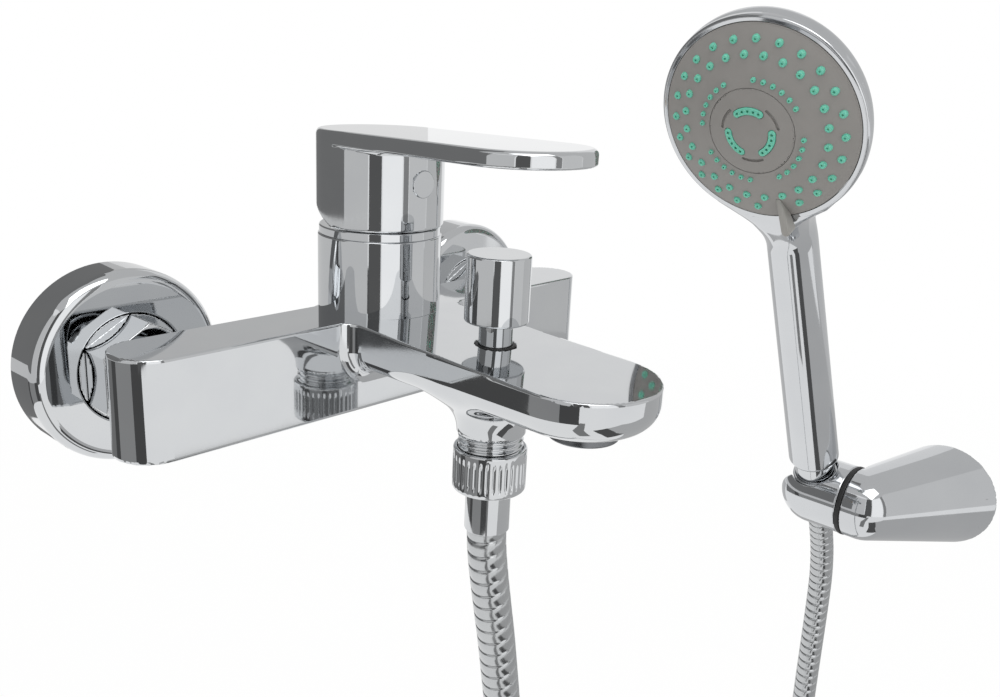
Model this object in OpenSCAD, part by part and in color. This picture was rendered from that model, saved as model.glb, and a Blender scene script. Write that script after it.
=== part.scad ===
// Wall-mounted single-lever bath shower mixer with a ribbed hose, a hand shower and a swivelling bracket.
// +X runs to the right along the bar, +Y into the wall, +Z up.
// The origin lies on the finished wall, midway between the two water inlets.

/* [Wall connection] */
// Distance between the two water inlets
inlet_spacing = 150; // [142:1:158]
// Outside diameter of the half-inch pipe threads
pipe_thread_d = 20.955; // [20.9:0.005:21]
// Length of each union's thread inside the wall
pipe_thread_l = 14; // [10:1:20]
// Outside diameter of the three-quarter-inch union threads
union_thread_d = 26.441; // [26.3:0.001:26.5]
// Water bore of the unions and tails
union_bore_d = 12; // [10:0.5:14]
// Diameter of the wall rosettes
rosette_d = 62; // [54:1:66]
// Depth of the wall rosettes
rosette_depth = 16; // [13:0.5:17]
// Wall thickness of the rosettes
rosette_wall = 1.2; // [1:0.1:1.6]
// Width across flats of the union nuts
union_nut_af = 30; // [30:0.5:32]
// Thickness of the flat washers
washer_t = 2; // [1.5:0.1:2.5]

/* [Body] */
// Length of the bar
bar_len = 194; // [186:1:204]
// Height of the bar
bar_h = 31; // [29:0.5:34]
// Thickness of the bar from front to back
bar_t = 23.2; // [22:0.2:26]
// Gap between the wall and the back of the bar
bar_gap = 35; // [33.5:0.5:38]
// Outside diameter of the tower
tower_d = 41.3; // [40.5:0.1:43]
// Height of the tower above the bar
tower_h = 25; // [24.5:0.5:28]
// Distance from the wall to the tower's axis
tower_out = 45.6; // [44.5:0.1:47]

/* [Spout] */
// Width of the spout
spout_w = 45.8; // [43:0.2:48]
// Distance from the wall to the spout's tip
spout_reach = 158.5; // [155:0.5:166]
// Height of the spout's underside, measured from the bar's centre line
spout_floor = -1; // [-2:0.5:0]
// Downward slope of the spout's top, in degrees
spout_slope = 1.9; // [1:0.1:2.2]
// Rounding of the spout's lower edges
spout_round = 8; // [5:0.5:9]
// Rounding of the corners between spout and bar
corner_fillet = 5; // [3:0.5:7]
// Diameter of the aerator housing
aerator_d = 21; // [19:0.5:23]

/* [Lever] */
// Diameter of the hub and width of the lever
lever_w = 42.2; // [41.4:0.2:44]
// Distance from the wall to the lever's tip
lever_reach = 130; // [118:1:138]
// Thickness of the lever plate
lever_t = 5; // [4:0.25:7]
// Height of the hub below the lever plate
hub_h = 25.8; // [24:0.2:28]
// Upward slope of the lever plate, in degrees
lever_rise = 0.8; // [0:0.1:2]
// How far the lever lifts, in degrees
lever_lift = 25; // [20:1:27]
// Side of the square stem inside the hub
stem_side = 8; // [7:0.25:9]

/* [Diverter and hose outlet] */
// Distance from the wall to the diverter's axis
diverter_out = 100.7; // [98:0.1:104]
// Diameter of the diverter knob
knob_d = 20; // [18:0.5:22]
// Height of the diverter knob
knob_h = 21; // [18:0.5:24]
// Gap under the knob when it is down
knob_gap = 7.4; // [5:0.2:10]
// Diameter of the diverter stem
stem_d = 10.5; // [9.5:0.25:11.5]
// How far the knob pulls up
diverter_travel = 8; // [6:0.5:9]
// Level of the outlet's end below the bar's centre line
outlet_drop = 14.5; // [13.5:0.5:16]
// Diameter of the fluted hose nut
hose_nut_d = 23.6; // [23.2:0.2:26]
// Height of the fluted hose nut
hose_nut_h = 14.2; // [13.5:0.1:17]

/* [Hose] */
// Outside diameter of the hose over its ribs
hose_d = 13; // [12:0.25:13]
// Water bore of the hose
hose_bore = 7.6; // [6:0.2:8]
// Depth of the groove between two ribs
rib_depth = 0.7; // [0.4:0.1:0.9]

/* [Hand shower] */
// Tilt of the handle from upright, in degrees
handle_tilt = 25; // [18:1:32]
// Turn of the hand shower in its cradle, in degrees
handle_turn = 5; // [0:1:12]
// Diameter of the handle at its foot
handle_d = 26.2; // [25:0.2:29]
// Diameter of the handle below the head
handle_top_d = 23.6; // [22:0.2:25]
// Distance from the handle's foot to the head's centre
handle_len = 208; // [196:1:222]
// Diameter of the spray face
face_d = 86.6; // [82:0.2:92]
// Height of the spray face's dome
dome_h = 10.4; // [8:0.2:12]
// Width of the shell's lip round the spray face
rim_w = 2.4; // [1.8:0.2:3.2]
// Depth of the head behind the face's edge
head_depth = 24; // [22:0.5:28]
// How far the face's edge lies in front of the handle's axis
face_out = 19; // [17:0.5:21]
// How far the spray face leans up, in degrees
face_lean = 2.5; // [0:0.5:5]
// Turn of the spray selector from the handle's line, in degrees
selector_rest = 10.5; // [-20:0.5:20]

/* [Bracket] */
// Distance from the mixer's centre to the side wall that carries the bracket
side_wall = 338; // [336:1:360]
// Distance from the side wall to the swivel axis
swivel_out = 50; // [48:1:54]
// Height of the swivel axis below the bar's centre line
swivel_drop = 127; // [124:1:130]
// Distance of the handle's axis from the mixer's wall
cradle_out = 85; // [82:1:88]
// Diameter of the cradle
cradle_d = 38; // [37:0.5:41]
// Distance from the handle's axis to the cradle's flat end
cradle_l = 19.3; // [19:0.1:22]
// Thickness of the black friction ring
ring_t = 2.5; // [2:0.1:3]
// Diameter of the bracket's wall plate
plate_d = 55.6; // [52:0.2:60]
// Distance between the two wall screws of the bracket
screw_spacing = 30; // [26:1:34]

/* [Fits] */
// Radial clearance of turning and sliding pairs
run_gap = 0.05; // [0.03:0.01:0.08]
// Clearance between parts that only pass each other
free_gap = 0.3; // [0.25:0.05:0.4]
// Radial clearance of fixed parts in their seats
seat_gap = 0.02; // [0.01:0.01:0.04]

/* [Hidden] */
$fn = 64;
// Overlap that lets a cut pass cleanly through a face
cut = 1;
chrome = "#c9cbcd";
brass = "#b9975b";
plastic = "#e8e6e0";
face_grey = "#8a8784";
teal = "#4fb095";
black = "#1c1c1c";
ceramic = "#f2efe6";

// Body levels and axes
bar_r = bar_t/2;
bar_y = -(bar_gap + bar_r);
bar_front = -(bar_gap + bar_t);
bar_top = bar_h/2;
tower_y = -tower_out;
tower_r = tower_d/2;
tower_top = bar_top + tower_h;
spout_r = spout_w/2;
tip_y = -(spout_reach - spout_r);
diverter_y = -diverter_out;
spout_top_at_diverter = bar_top - (diverter_out - bar_gap - bar_t)*tan(spout_slope);
aerator_r = aerator_d/2;
aerator_y = tip_y - 1.5;
pipe_r = pipe_thread_d/2;
channel_r = 3.8;
channel_z = spout_floor + 6.5;

// Wall connection, as distances from the wall
union_end = 20;
tail_flange_t = 2.5;
tail_flange_end = union_end + washer_t + tail_flange_t;
well_depth = 8;
union_nut_start = rosette_depth - well_depth + free_gap;
union_nut_floor = 4;
union_nut_end = tail_flange_end + union_nut_floor;
tail_neck_r = union_bore_d/2 + 2.5;
tail_depth = 15;
union_r = union_thread_d/2;

// Cartridge levels
sleeve_wall = 1.2;
neck_r = tower_r - sleeve_wall - run_gap;
chamber_r = 17.6;
chamber_floor = bar_top - 4.5;
base_t = 8;
disc_t = 4;
disc_r = 11.4;
housing_r = chamber_r - seat_gap;
housing_wall = 2.2;
fixed_z = chamber_floor + base_t;
sliding_z = fixed_z + disc_t;
guide_z = sliding_z + disc_t + free_gap;
guide_flange_t = 4.2;
housing_roof = guide_z + guide_flange_t + run_gap;
housing_top = housing_roof + 2.5;
neck_wall = 2;
guide_r = 11;
cartridge_neck_r = guide_r + run_gap + neck_wall;
ring_h = 2.8;
ring_top = tower_top + ring_h;
ring_r = tower_r - 0.4;
pivot_z = ring_top - 1.3;
guide_top = pivot_z + 3.6;
pin_r = 1.5;
tongue_l = pivot_z - sliding_z - 1.6;
disc_stroke = tongue_l*sin(lever_lift);

// Lever levels
hub_r = lever_w/2;
hub_z = ring_top + free_gap;
plate_z = hub_z + hub_h;
lever_tip_y = -(lever_reach - hub_r);
hub_cave_r = hub_r - 4.6;
hub_roof = plate_z - 13.6;
screw_z = hub_roof + 3;
stem_top = plate_z - 2.5;
plug_r = 4.2;
plug_depth = 4;
screw_r = 2.5;

// Diverter and outlet levels
knob_z = spout_top_at_diverter + knob_gap;
knob_r = knob_d/2;
stem_r = stem_d/2;
nipple_top = -outlet_drop + 5.5;
nipple_bore_r = 6.5;
seal_t = 1.5;
valve_t = 2.5;
valve_r = 7.6;
valve_chamber_r = valve_r + 1;
valve_z = nipple_top + free_gap;
valve_chamber_top = valve_z + seal_t + valve_t + diverter_travel + 2;
seal_ring_w = 1.2;
seal_ring_h = 2;
flare_r = 13.5;
trumpet_end_r = pipe_r + 0.5;
hose_nut_z = -outlet_drop - 4.8;
hose_nut_r = hose_nut_d/2;
hose_nut_floor = hose_nut_z - hose_nut_h;
nut_floor_t = 2.6;
ferrule_flange_t = 2;
lower_washer_z = hose_nut_floor + nut_floor_t + ferrule_flange_t;
nipple_end = lower_washer_z + washer_t;
hose_r = hose_d/2;
ferrule_wall = 0.7;
ferrule_r = hose_r + 0.1 + ferrule_wall;
ferrule_flange_r = 9.2;
ferrule_end = -48;
hose_start_z = -35;

// Hand shower frame: heights run up the handle from the swivel axis
swivel = [side_wall - swivel_out, -cradle_out, -swivel_drop];
cradle_r = cradle_d/2;
handle_foot = 24;
head_at = handle_foot + handle_len;
handle_r = handle_d/2;
handle_top_r = handle_top_d/2;
face_r = face_d/2;
rim_r = face_r + rim_w;
dome_r = (face_r*face_r + dome_h*dome_h)/(2*dome_h);
face_t = 2.2;
mat_t = 1.2;
rim_band = 9;
back_h = head_depth - rim_band;
back_r = (rim_r*rim_r + back_h*back_h)/(2*back_h);
shell_wall = 2.2;
cone_top = 14;
cone_foot = -19;
cone_top_r = pipe_r + 1.5;
cone_foot_r = 9;
cone_floor = 0;
upper_flange_t = 2.5;
upper_ferrule_end = -17;
hose_end_s = -4;
handset_lift = 40;
neck_flare = 25;
neck_rise = sqrt(pow(rim_r + neck_flare, 2) - pow(handle_top_r + neck_flare, 2));
neck_start = head_at - neck_rise;
neck_end = head_at - neck_rise*rim_r/(rim_r + neck_flare);
neck_end_r = (handle_top_r + neck_flare)*rim_r/(rim_r + neck_flare);

// Spray pattern: counts, and radii as shares of the face
ring_nozzles = 24;
outer_ring = 0.87*face_r;
second_ring = 0.735*face_r;
inner_ring = 0.52*face_r;
arc_nozzles = 6;
arc_groups = 4;
arc_step = 11;
arc_first = 180/arc_groups - arc_step*(arc_nozzles - 1)/2;
nozzle_r = 1.7;
small_nozzle_r = 1.1;
nozzle_out = 1.5;
centre_r = 0.44*face_r;
web_t = 2;
web_z = dome_h - 9.4;
well_wall = 2;
hub_core_r = 6;
face_screw_r = 2.5;
face_screw_head_r = 4.3;
pad_ring = 0.225*face_r;
pad_w = 3.2;
pad_arc = 80;
pad_count = 3;
pad_out = 0.5;
slot_ring = 0.29*face_r;
slot_w = 1.2;
slot_arc = 44;
distributor_r = face_r - 9;
distributor_t = 6;
seat_depth = 10;

// Bracket levels along the swivel axis, measured from the handle's axis towards the base
axle_r = 3;
axle_head_r = 5.5;
axle_head_t = 2.5;
axle_washer_t = 1;
axle_seat = cradle_l - 4;
axle_l = 26;
axle_end = axle_seat - axle_washer_t - axle_head_t + axle_l;
shoulder_l = 6;
plate_r = plate_d/2;
plate_wall = 3;
plate_inner_r = plate_r - plate_wall;
plate_t = 5;
plate_out = 48.5;
wall_screw_r = 2.6;

// Route of the hose from its lower end, under the mixer, to the cone nut: hand-chosen points
hose_route = [
    [0, -100.7, -35], [0, -100.7, -41.5], [0, -100.7, -48], [0.6, -100.7, -56], [2.2, -100.7, -66],
    [4.8, -100.6, -79], [8.6, -100.5, -98], [15, -100, -135], [20, -99.5, -180], [22.5, -99, -235],
    [23, -98.5, -290], [23, -98, -345], [24, -97.5, -400], [29, -96.5, -450], [44, -95, -498],
    [72, -93.5, -536], [116, -92, -557], [168, -90.5, -562], [220, -89, -557], [264, -88, -536],
    [292, -87, -498], [307, -86.5, -450], [312, -86, -400], [313, -86, -345], [313.5, -85.5, -295],
    [313.2, -85.2, -250], [312.8, -85, -209], [311.3, -85, -189], [307.2, -85, -171],
    [300.68, -85, -154.19], [295.18, -85, -142.41], [292.44, -85, -136.52], [289.69, -85, -130.63]];

// A point on the round-cornered curve through four neighbouring points
function curve_at(a, b, c, d, t) =
    0.5*((2*b) + (c - a)*t + (2*a - 5*b + 4*c - d)*t*t + (3*b - a - 3*c + d)*t*t*t);
function last(list) = list[len(list) - 1];
function curve_steps(p, n) = [
    for (i = [0:len(p) - 2], k = [0:n - 1])
        curve_at(p[max(i - 1, 0)], p[i], p[i + 1], p[min(i + 2, len(p) - 1)], k/n),
    last(p)];
function step_length(p, i) = i < len(p) - 1 ? norm(p[i + 1] - p[i]) : 0;
function run_lengths(p) = [for (i = 0, s = 0; i < len(p); s = s + step_length(p, i), i = i + 1) s];
function point_at(p, s, at) = let (
        i = min(len(p) - 2, max(0, len([for (v = s) if (v <= at) 1]) - 1)),
        t = (at - s[i])/(s[i + 1] - s[i]))
    p[i] + (p[i + 1] - p[i])*t;

curve_fine = 8;
hose_line = curve_steps(hose_route, curve_fine);
hose_runs = run_lengths(hose_line);
hose_len = last(hose_runs);
upper_ribs = 19;
lower_ribs = 180;
rib_pitch = hose_len/(upper_ribs + lower_ribs);
split_at = lower_ribs*rib_pitch;
hose_sides = 8;
bore_every = 10;

// Frames
module at_tower(z = 0) { translate([0, tower_y, z]) children(); }
module at_diverter(z = 0) { translate([0, diverter_y, z]) children(); }
module at_inlet(side) { translate([side*inlet_spacing/2, 0, 0]) rotate([90, 0, 0]) children(); }
module in_cradle() { translate(swivel) rotate([0, -handle_tilt, 0]) children(); }
module in_handset() { in_cradle() rotate([0, 0, handle_turn]) children(); }
module at_face(z = 0) {
    in_handset() translate([0, 0, head_at]) rotate([0, face_lean - 90, 0]) translate([0, 0, face_out + z])
        children();
}
// Along the swivel axis, from the handle's axis towards the base
module on_swivel(z = 0) { translate(swivel) rotate([90, 0, 0]) translate([0, 0, z]) children(); }

// Shapes that repeat
module tube(outer, inner, h) {
    difference() {
        cylinder(r = outer, h = h);
        translate([0, 0, -cut]) cylinder(r = inner, h = h + 2*cut);
    }
}
module ball_shell(outer, inner) {
    difference() {
        sphere(r = outer);
        sphere(r = inner);
    }
}

// A tube along part of the hose's line: outer rings alternate between rib and groove, with fewer in the bore
function ring_points(from, to, n, radius) = [
    for (k = [0:n]) let (
            at = from + (to - from)*k/n,
            c = point_at(hose_line, hose_runs, at),
            ahead = point_at(hose_line, hose_runs, min(hose_len, at + 1)),
            behind = point_at(hose_line, hose_runs, max(0, at - 1)),
            along = (ahead - behind)/norm(ahead - behind),
            side = cross([0, 1, 0], along)/norm(cross([0, 1, 0], along)),
            up = cross(along, side),
            r = radius[k % 2])
        for (j = [0:hose_sides - 1]) let (a = 360*j/hose_sides)
            c + r*(side*cos(a) + up*sin(a))];
function skin(first, rows, flip) = [
    for (k = [0:rows - 1], j = [0:hose_sides - 1]) let (
            a = first + k*hose_sides + j,
            b = first + k*hose_sides + (j + 1) % hose_sides)
        each flip
            ? [[a, a + hose_sides, b], [b, a + hose_sides, b + hose_sides]]
            : [[a, b, a + hose_sides], [b, b + hose_sides, a + hose_sides]]];
function rim_faces(outer, inner, flip) = [
    for (j = [0:hose_sides - 1]) let (
            o0 = outer + j,
            o1 = outer + (j + 1) % hose_sides,
            i0 = inner + j,
            i1 = inner + (j + 1) % hose_sides)
        each flip ? [[o0, i0, o1], [o1, i0, i1]] : [[o0, o1, i0], [o1, i1, i0]]];
module ribbed_hose(from, to, ribs) {
    rows = 2*ribs;
    bore_rows = ceil(rows/bore_every);
    outer = ring_points(from, to, rows, [hose_r, hose_r - rib_depth]);
    inner = ring_points(from, to, bore_rows, [hose_bore/2, hose_bore/2]);
    start = len(outer);
    polyhedron(concat(outer, inner), concat(
        skin(0, rows, false),
        skin(start, bore_rows, true),
        rim_faces(0, start, true),
        rim_faces(rows*hose_sides, start + bore_rows*hose_sides, false)), convexity = 10);
}

// Body casting: bar, spout, outlet trumpet and cartridge neck
module bar_plan() {
    end_x = bar_len/2 - bar_r;
    translate([-end_x, -bar_r]) square([2*end_x, bar_t]);
    for (side = [-1, 1]) translate([side*end_x, 0]) circle(r = bar_r);
}
module spout_half_section(half) {
    top = bar_top;
    translate([0, spout_floor + spout_round]) square([half, top - spout_floor - spout_round]);
    translate([0, spout_floor]) square([half - spout_round, top - spout_floor]);
    translate([half - spout_round, spout_floor + spout_round]) circle(r = spout_round);
}
module spout_slab() {
    difference() {
        union() {
            translate([0, tip_y, 0]) rotate_extrude() intersection() {
                spout_half_section(spout_r);
                translate([0, -bar_h]) square([spout_w, 2*bar_h]);
            }
            translate([0, bar_y, 0]) rotate([90, 0, 0]) linear_extrude(height = bar_y - tip_y) {
                spout_half_section(spout_r);
                mirror([1, 0]) spout_half_section(spout_r);
            }
        }
        translate([-bar_len, bar_front, bar_top]) rotate([spout_slope, 0, 0])
            translate([0, -2*spout_reach, 0]) cube([2*bar_len, 4*spout_reach, bar_h]);
    }
}
module corner_webs() {
    for (side = [-1, 1]) mirror([side < 0 ? 1 : 0, 0, 0])
        translate([spout_r, bar_front, spout_floor + spout_round])
            linear_extrude(height = spout_top_at_diverter - spout_floor - spout_round) difference() {
                translate([-cut, -corner_fillet]) square([corner_fillet + cut, corner_fillet + cut]);
                translate([corner_fillet, -corner_fillet]) circle(r = corner_fillet);
            }
}
module trumpet() {
    web_half = spout_r - 2.5;
    floor_z = spout_floor + outlet_drop;
    flare_top = floor_z + 3.5;
    intersection() {
        at_diverter(-outlet_drop) rotate_extrude() difference() {
            square([trumpet_end_r + flare_r, flare_top]);
            translate([trumpet_end_r + flare_r, floor_z - flare_r]) circle(r = flare_r);
            translate([trumpet_end_r, -cut]) square([2*flare_r, floor_z - flare_r + cut]);
        }
        at_diverter(-outlet_drop - cut) translate([-web_half, -spout_w, 0])
            cube([2*web_half, 2*spout_w, flare_top + 2*cut]);
    }
}
module mixer_body() {
    color(chrome) difference() {
        union() {
            translate([0, bar_y, -bar_top]) linear_extrude(height = bar_h) bar_plan();
            spout_slab();
            corner_webs();
            trumpet();
            at_tower(spout_floor + cut) cylinder(r = tower_r, h = bar_top - spout_floor - cut);
            at_tower(bar_top - cut) cylinder(r = neck_r, h = tower_h - run_gap + cut);
        }
        at_tower(chamber_floor) cylinder(r = chamber_r, h = tower_h + bar_h);
        for (side = [-1, 1]) {
            at_inlet(side) translate([0, 0, bar_gap - cut])
                cylinder(r = tail_neck_r + seat_gap, h = tail_depth + cut);
            translate([side*inlet_spacing/2, bar_y, 0]) rotate([0, -side*90, 0])
                cylinder(r = channel_r + 1.2, h = inlet_spacing/2 - chamber_r/2);
            at_tower() translate([side*chamber_r/2, 0, 0]) cylinder(r = channel_r, h = chamber_floor + cut);
        }
        at_tower(channel_z) translate([0, -chamber_r/2, 0]) cylinder(r = channel_r, h = chamber_floor);
        translate([0, tower_y - chamber_r/2, channel_z]) rotate([90, 0, 0])
            cylinder(r = channel_r, h = -aerator_y + tower_y - chamber_r/2);
        at_diverter(-outlet_drop - cut)
            cylinder(r = valve_chamber_r, h = outlet_drop + valve_chamber_top + cut);
        at_diverter(0) cylinder(r = stem_r + run_gap, h = bar_h);
        at_diverter(spout_top_at_diverter - seal_ring_h) cylinder(r = stem_r + seal_ring_w, h = bar_h);
        translate([0, aerator_y, spout_floor - cut]) cylinder(r = aerator_r + seat_gap, h = 6 + cut);
        translate([0, aerator_y, spout_floor]) cylinder(r = aerator_r - 3, h = 9);
    }
}

// Tower trim
module tower_sleeve() {
    color(chrome) at_tower(bar_top) tube(tower_r, neck_r + run_gap, tower_h);
}
module trim_ring() {
    edge = 0.5;
    color(chrome) at_tower(tower_top) rotate_extrude() polygon([[cartridge_neck_r + 1.4, 0], [ring_r, 0],
        [ring_r, ring_h - edge], [ring_r - edge, ring_h], [cartridge_neck_r + 1.4, ring_h]]);
}

// Cartridge
module retaining_nut() {
    notch_w = 4;
    color(brass) at_tower(housing_top) difference() {
        tube(housing_r, cartridge_neck_r + free_gap, tower_top - run_gap - housing_top);
        for (a = [0:60:300]) rotate([0, 0, a]) translate([chamber_r, 0, tower_top - housing_top])
            cube([notch_w, notch_w, notch_w], center = true);
    }
}
module port_holes(r, h) {
    for (side = [-1, 1]) translate([side*chamber_r/2, 0, -cut]) cylinder(r = r, h = h);
    translate([0, -chamber_r/2, -cut]) cylinder(r = r, h = h);
}
seal_h = 1.2;
module cartridge_base() {
    color(plastic) at_tower(chamber_floor) difference() {
        cylinder(r = housing_r, h = base_t);
        port_holes(channel_r - 0.6, base_t + 2*cut);
        port_holes(channel_r + 1.5, seal_h + cut);
    }
}
module cartridge_seals() {
    color(black) at_tower(chamber_floor) {
        for (side = [-1, 1]) translate([side*chamber_r/2, 0, 0]) tube(channel_r + 1.4, channel_r, seal_h);
        translate([0, -chamber_r/2, 0]) tube(channel_r + 1.4, channel_r, seal_h);
    }
}
module fixed_disc() {
    color(ceramic) at_tower(fixed_z) difference() {
        cylinder(r = housing_r - housing_wall - seat_gap, h = disc_t);
        port_holes(channel_r - 1, disc_t + 2*cut);
    }
}
module cartridge_housing() {
    color(plastic) at_tower() difference() {
        union() {
            translate([0, 0, fixed_z]) cylinder(r = housing_r, h = housing_top - fixed_z);
            translate([0, 0, housing_top - cut])
                cylinder(r = cartridge_neck_r, h = guide_top - housing_top + cut);
        }
        translate([0, 0, fixed_z - cut])
            cylinder(r = housing_r - housing_wall, h = housing_roof - fixed_z + cut);
        cylinder(r = guide_r + run_gap, h = guide_top + cut);
    }
}
module sliding_disc() {
    pocket = stem_side - 1;
    color(ceramic) at_tower(sliding_z) difference() {
        translate([0, disc_stroke/2, 0]) cylinder(r = disc_r, h = disc_t);
        translate([0, 0, disc_t]) cube([pocket, pocket, 2*(disc_t - 1.2)], center = true);
        translate([0, disc_stroke/2, -cut]) cylinder(r = channel_r - 1.5, h = cut + 1);
    }
}
module stem_guide() {
    slot = stem_side + 2*free_gap;
    swing = disc_stroke + stem_side/2 + 2;
    color(plastic) at_tower(guide_z) difference() {
        union() {
            cylinder(r = housing_r - housing_wall - run_gap, h = guide_flange_t);
            cylinder(r = guide_r, h = guide_top - guide_z);
        }
        translate([-slot/2, -swing, -cut]) cube([slot, swing + stem_side/2 + 2, guide_top]);
        translate([-slot/2, -tower_r, guide_flange_t + cut]) cube([slot, tower_d, guide_top]);
        translate([-tower_r, 0, pivot_z - guide_z]) rotate([0, 90, 0])
            cylinder(r = pin_r + seat_gap, h = tower_d);
    }
}
module stem_pin() {
    pin_l = 2*guide_r - 3;
    color("#a9adb2") at_tower(pivot_z) translate([-pin_l/2, 0, 0]) rotate([0, 90, 0])
        cylinder(r = pin_r, h = pin_l);
}
module cartridge_stem() {
    tongue = stem_side - 3;
    color("#a9adb2") at_tower(pivot_z) difference() {
        union() {
            translate([-stem_side/2, -stem_side/2, -4]) cube([stem_side, stem_side, stem_top - pivot_z + 4]);
            translate([-tongue/2, -tongue/2, -tongue_l]) cube([tongue, tongue, tongue_l]);
        }
        translate([-stem_side, 0, 0]) rotate([0, 90, 0]) cylinder(r = pin_r + run_gap, h = 2*stem_side);
    }
}

// Lever: hub and plate in one casting, with a slanted back foot that clears the trim ring when lifted
module lever_plate() {
    spare = 3;
    difference() {
        at_tower(plate_z - spare) linear_extrude(height = lever_t + 2*spare) {
            circle(r = hub_r);
            translate([-hub_r, lever_tip_y - tower_y]) square([lever_w, tower_y - lever_tip_y]);
            translate([0, lever_tip_y - tower_y]) circle(r = hub_r);
        }
        at_tower(plate_z) rotate([-lever_rise, 0, 0]) translate([-lever_w, -2*lever_reach, -lever_w])
            cube([2*lever_w, 4*lever_reach, lever_w]);
        at_tower(plate_z + lever_t) rotate([-lever_rise, 0, 0]) translate([-lever_w, -2*lever_reach, 0])
            cube([2*lever_w, 4*lever_reach, lever_w]);
    }
}
module lever_handle() {
    color(chrome) difference() {
        union() {
            at_tower(hub_z) cylinder(r = hub_r, h = hub_h + lever_t/2);
            lever_plate();
        }
        at_tower(hub_z - cut) cylinder(r = hub_cave_r, h = hub_roof - hub_z + cut);
        at_tower(hub_roof - cut) translate([-stem_side/2 - seat_gap, -stem_side/2 - seat_gap, 0])
            cube([stem_side + 2*seat_gap, stem_side + 2*seat_gap, stem_top - hub_roof + cut + free_gap]);
        at_tower(screw_z) rotate([90, 0, 0]) cylinder(r = screw_r + seat_gap, h = hub_r + cut);
        at_tower(screw_z) rotate([90, 0, 0]) translate([0, 0, hub_r - plug_depth])
            cylinder(r = plug_r + seat_gap, h = plug_depth + cut);
        at_tower(pivot_z) rotate([lever_lift, 0, 0])
            translate([-lever_w, -lever_w, ring_top + free_gap - pivot_z - lever_w])
                cube([2*lever_w, 2*lever_w, lever_w]);
    }
}
module lever_grub_screw() {
    socket_r = 1.4;
    length = hub_r - plug_depth - stem_side/2 - 2;
    color("#8d9196") at_tower(screw_z) rotate([90, 0, 0]) translate([0, 0, stem_side/2]) difference() {
        cylinder(r = screw_r, h = length);
        translate([0, 0, length - 2.5]) cylinder(r = socket_r, h = 2.5 + cut, $fn = 6);
    }
}
module indicator_plug() {
    proud = 0.25;
    color(chrome) at_tower(screw_z) rotate([90, 0, 0]) translate([0, 0, hub_r - plug_depth])
        cylinder(r = plug_r, h = plug_depth + proud);
}

// Wall connection
module wall_union(side) {
    shoulder = 4;
    color(brass) at_inlet(side) difference() {
        union() {
            translate([0, 0, -pipe_thread_l]) cylinder(r = pipe_r, h = pipe_thread_l + union_end);
            translate([0, 0, shoulder]) cylinder(r = union_r, h = union_end - shoulder);
        }
        translate([0, 0, -pipe_thread_l - cut])
            cylinder(r = union_bore_d/2, h = pipe_thread_l + union_end + 2*cut);
    }
}
module rosette(side) {
    outer = rosette_d/2;
    hole = union_r + 0.12;
    round = 4;
    sheet = 1.4;
    boss_w = 2;
    boss_start = 2.6;
    well_r = union_nut_af/2/cos(30) + free_gap;
    floor_z = rosette_depth - well_depth;
    color(chrome) at_inlet(side) rotate_extrude() difference() {
        union() {
            square([outer, rosette_depth - round]);
            square([outer - round, rosette_depth]);
            translate([outer - round, rosette_depth - round]) circle(r = round);
        }
        translate([0, -cut]) square([hole, rosette_depth + 2*cut]);
        translate([0, floor_z]) square([well_r, well_depth + cut]);
        difference() {
            translate([0, -cut]) square([outer - rosette_wall, rosette_depth - round + cut]);
            translate([0, floor_z - sheet]) square([well_r + sheet, well_depth]);
            translate([0, boss_start]) square([hole + boss_w, well_depth]);
        }
    }
}
module union_nut(side) {
    color(chrome) at_inlet(side) difference() {
        translate([0, 0, union_nut_start]) intersection() {
            cylinder(r = union_nut_af/2/cos(30), h = union_nut_end - union_nut_start, $fn = 6);
            cylinder(r = union_nut_af/2/cos(30) - 0.9, h = union_nut_end - union_nut_start);
        }
        translate([0, 0, union_nut_start - cut])
            cylinder(r = union_r + run_gap, h = tail_flange_end - union_nut_start + cut);
        translate([0, 0, union_nut_start]) cylinder(r = tail_neck_r + free_gap, h = union_nut_end);
    }
}
module inlet_tail(side) {
    collar_t = 3.5;
    collar_w = 2.8;
    color(chrome) at_inlet(side) difference() {
        union() {
            translate([0, 0, union_end + washer_t]) cylinder(r = union_r - 1, h = tail_flange_t);
            translate([0, 0, union_end + washer_t])
                cylinder(r = tail_neck_r, h = bar_gap + tail_depth - union_end - washer_t);
            translate([0, 0, bar_gap - collar_t])
                cylinder(r = tail_neck_r + collar_w, h = collar_t - seat_gap);
        }
        cylinder(r = union_bore_d/2, h = bar_gap + tail_depth + cut);
    }
}
module union_washers() {
    color(black) for (side = [-1, 1])
        at_inlet(side) translate([0, 0, union_end]) tube(union_r - 1, union_bore_d/2, washer_t);
}
module union_left() { wall_union(-1); }
module union_right() { wall_union(1); }
module rosette_left() { rosette(-1); }
module rosette_right() { rosette(1); }
module union_nut_left() { union_nut(-1); }
module union_nut_right() { union_nut(1); }
module inlet_tail_left() { inlet_tail(-1); }
module inlet_tail_right() { inlet_tail(1); }

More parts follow.
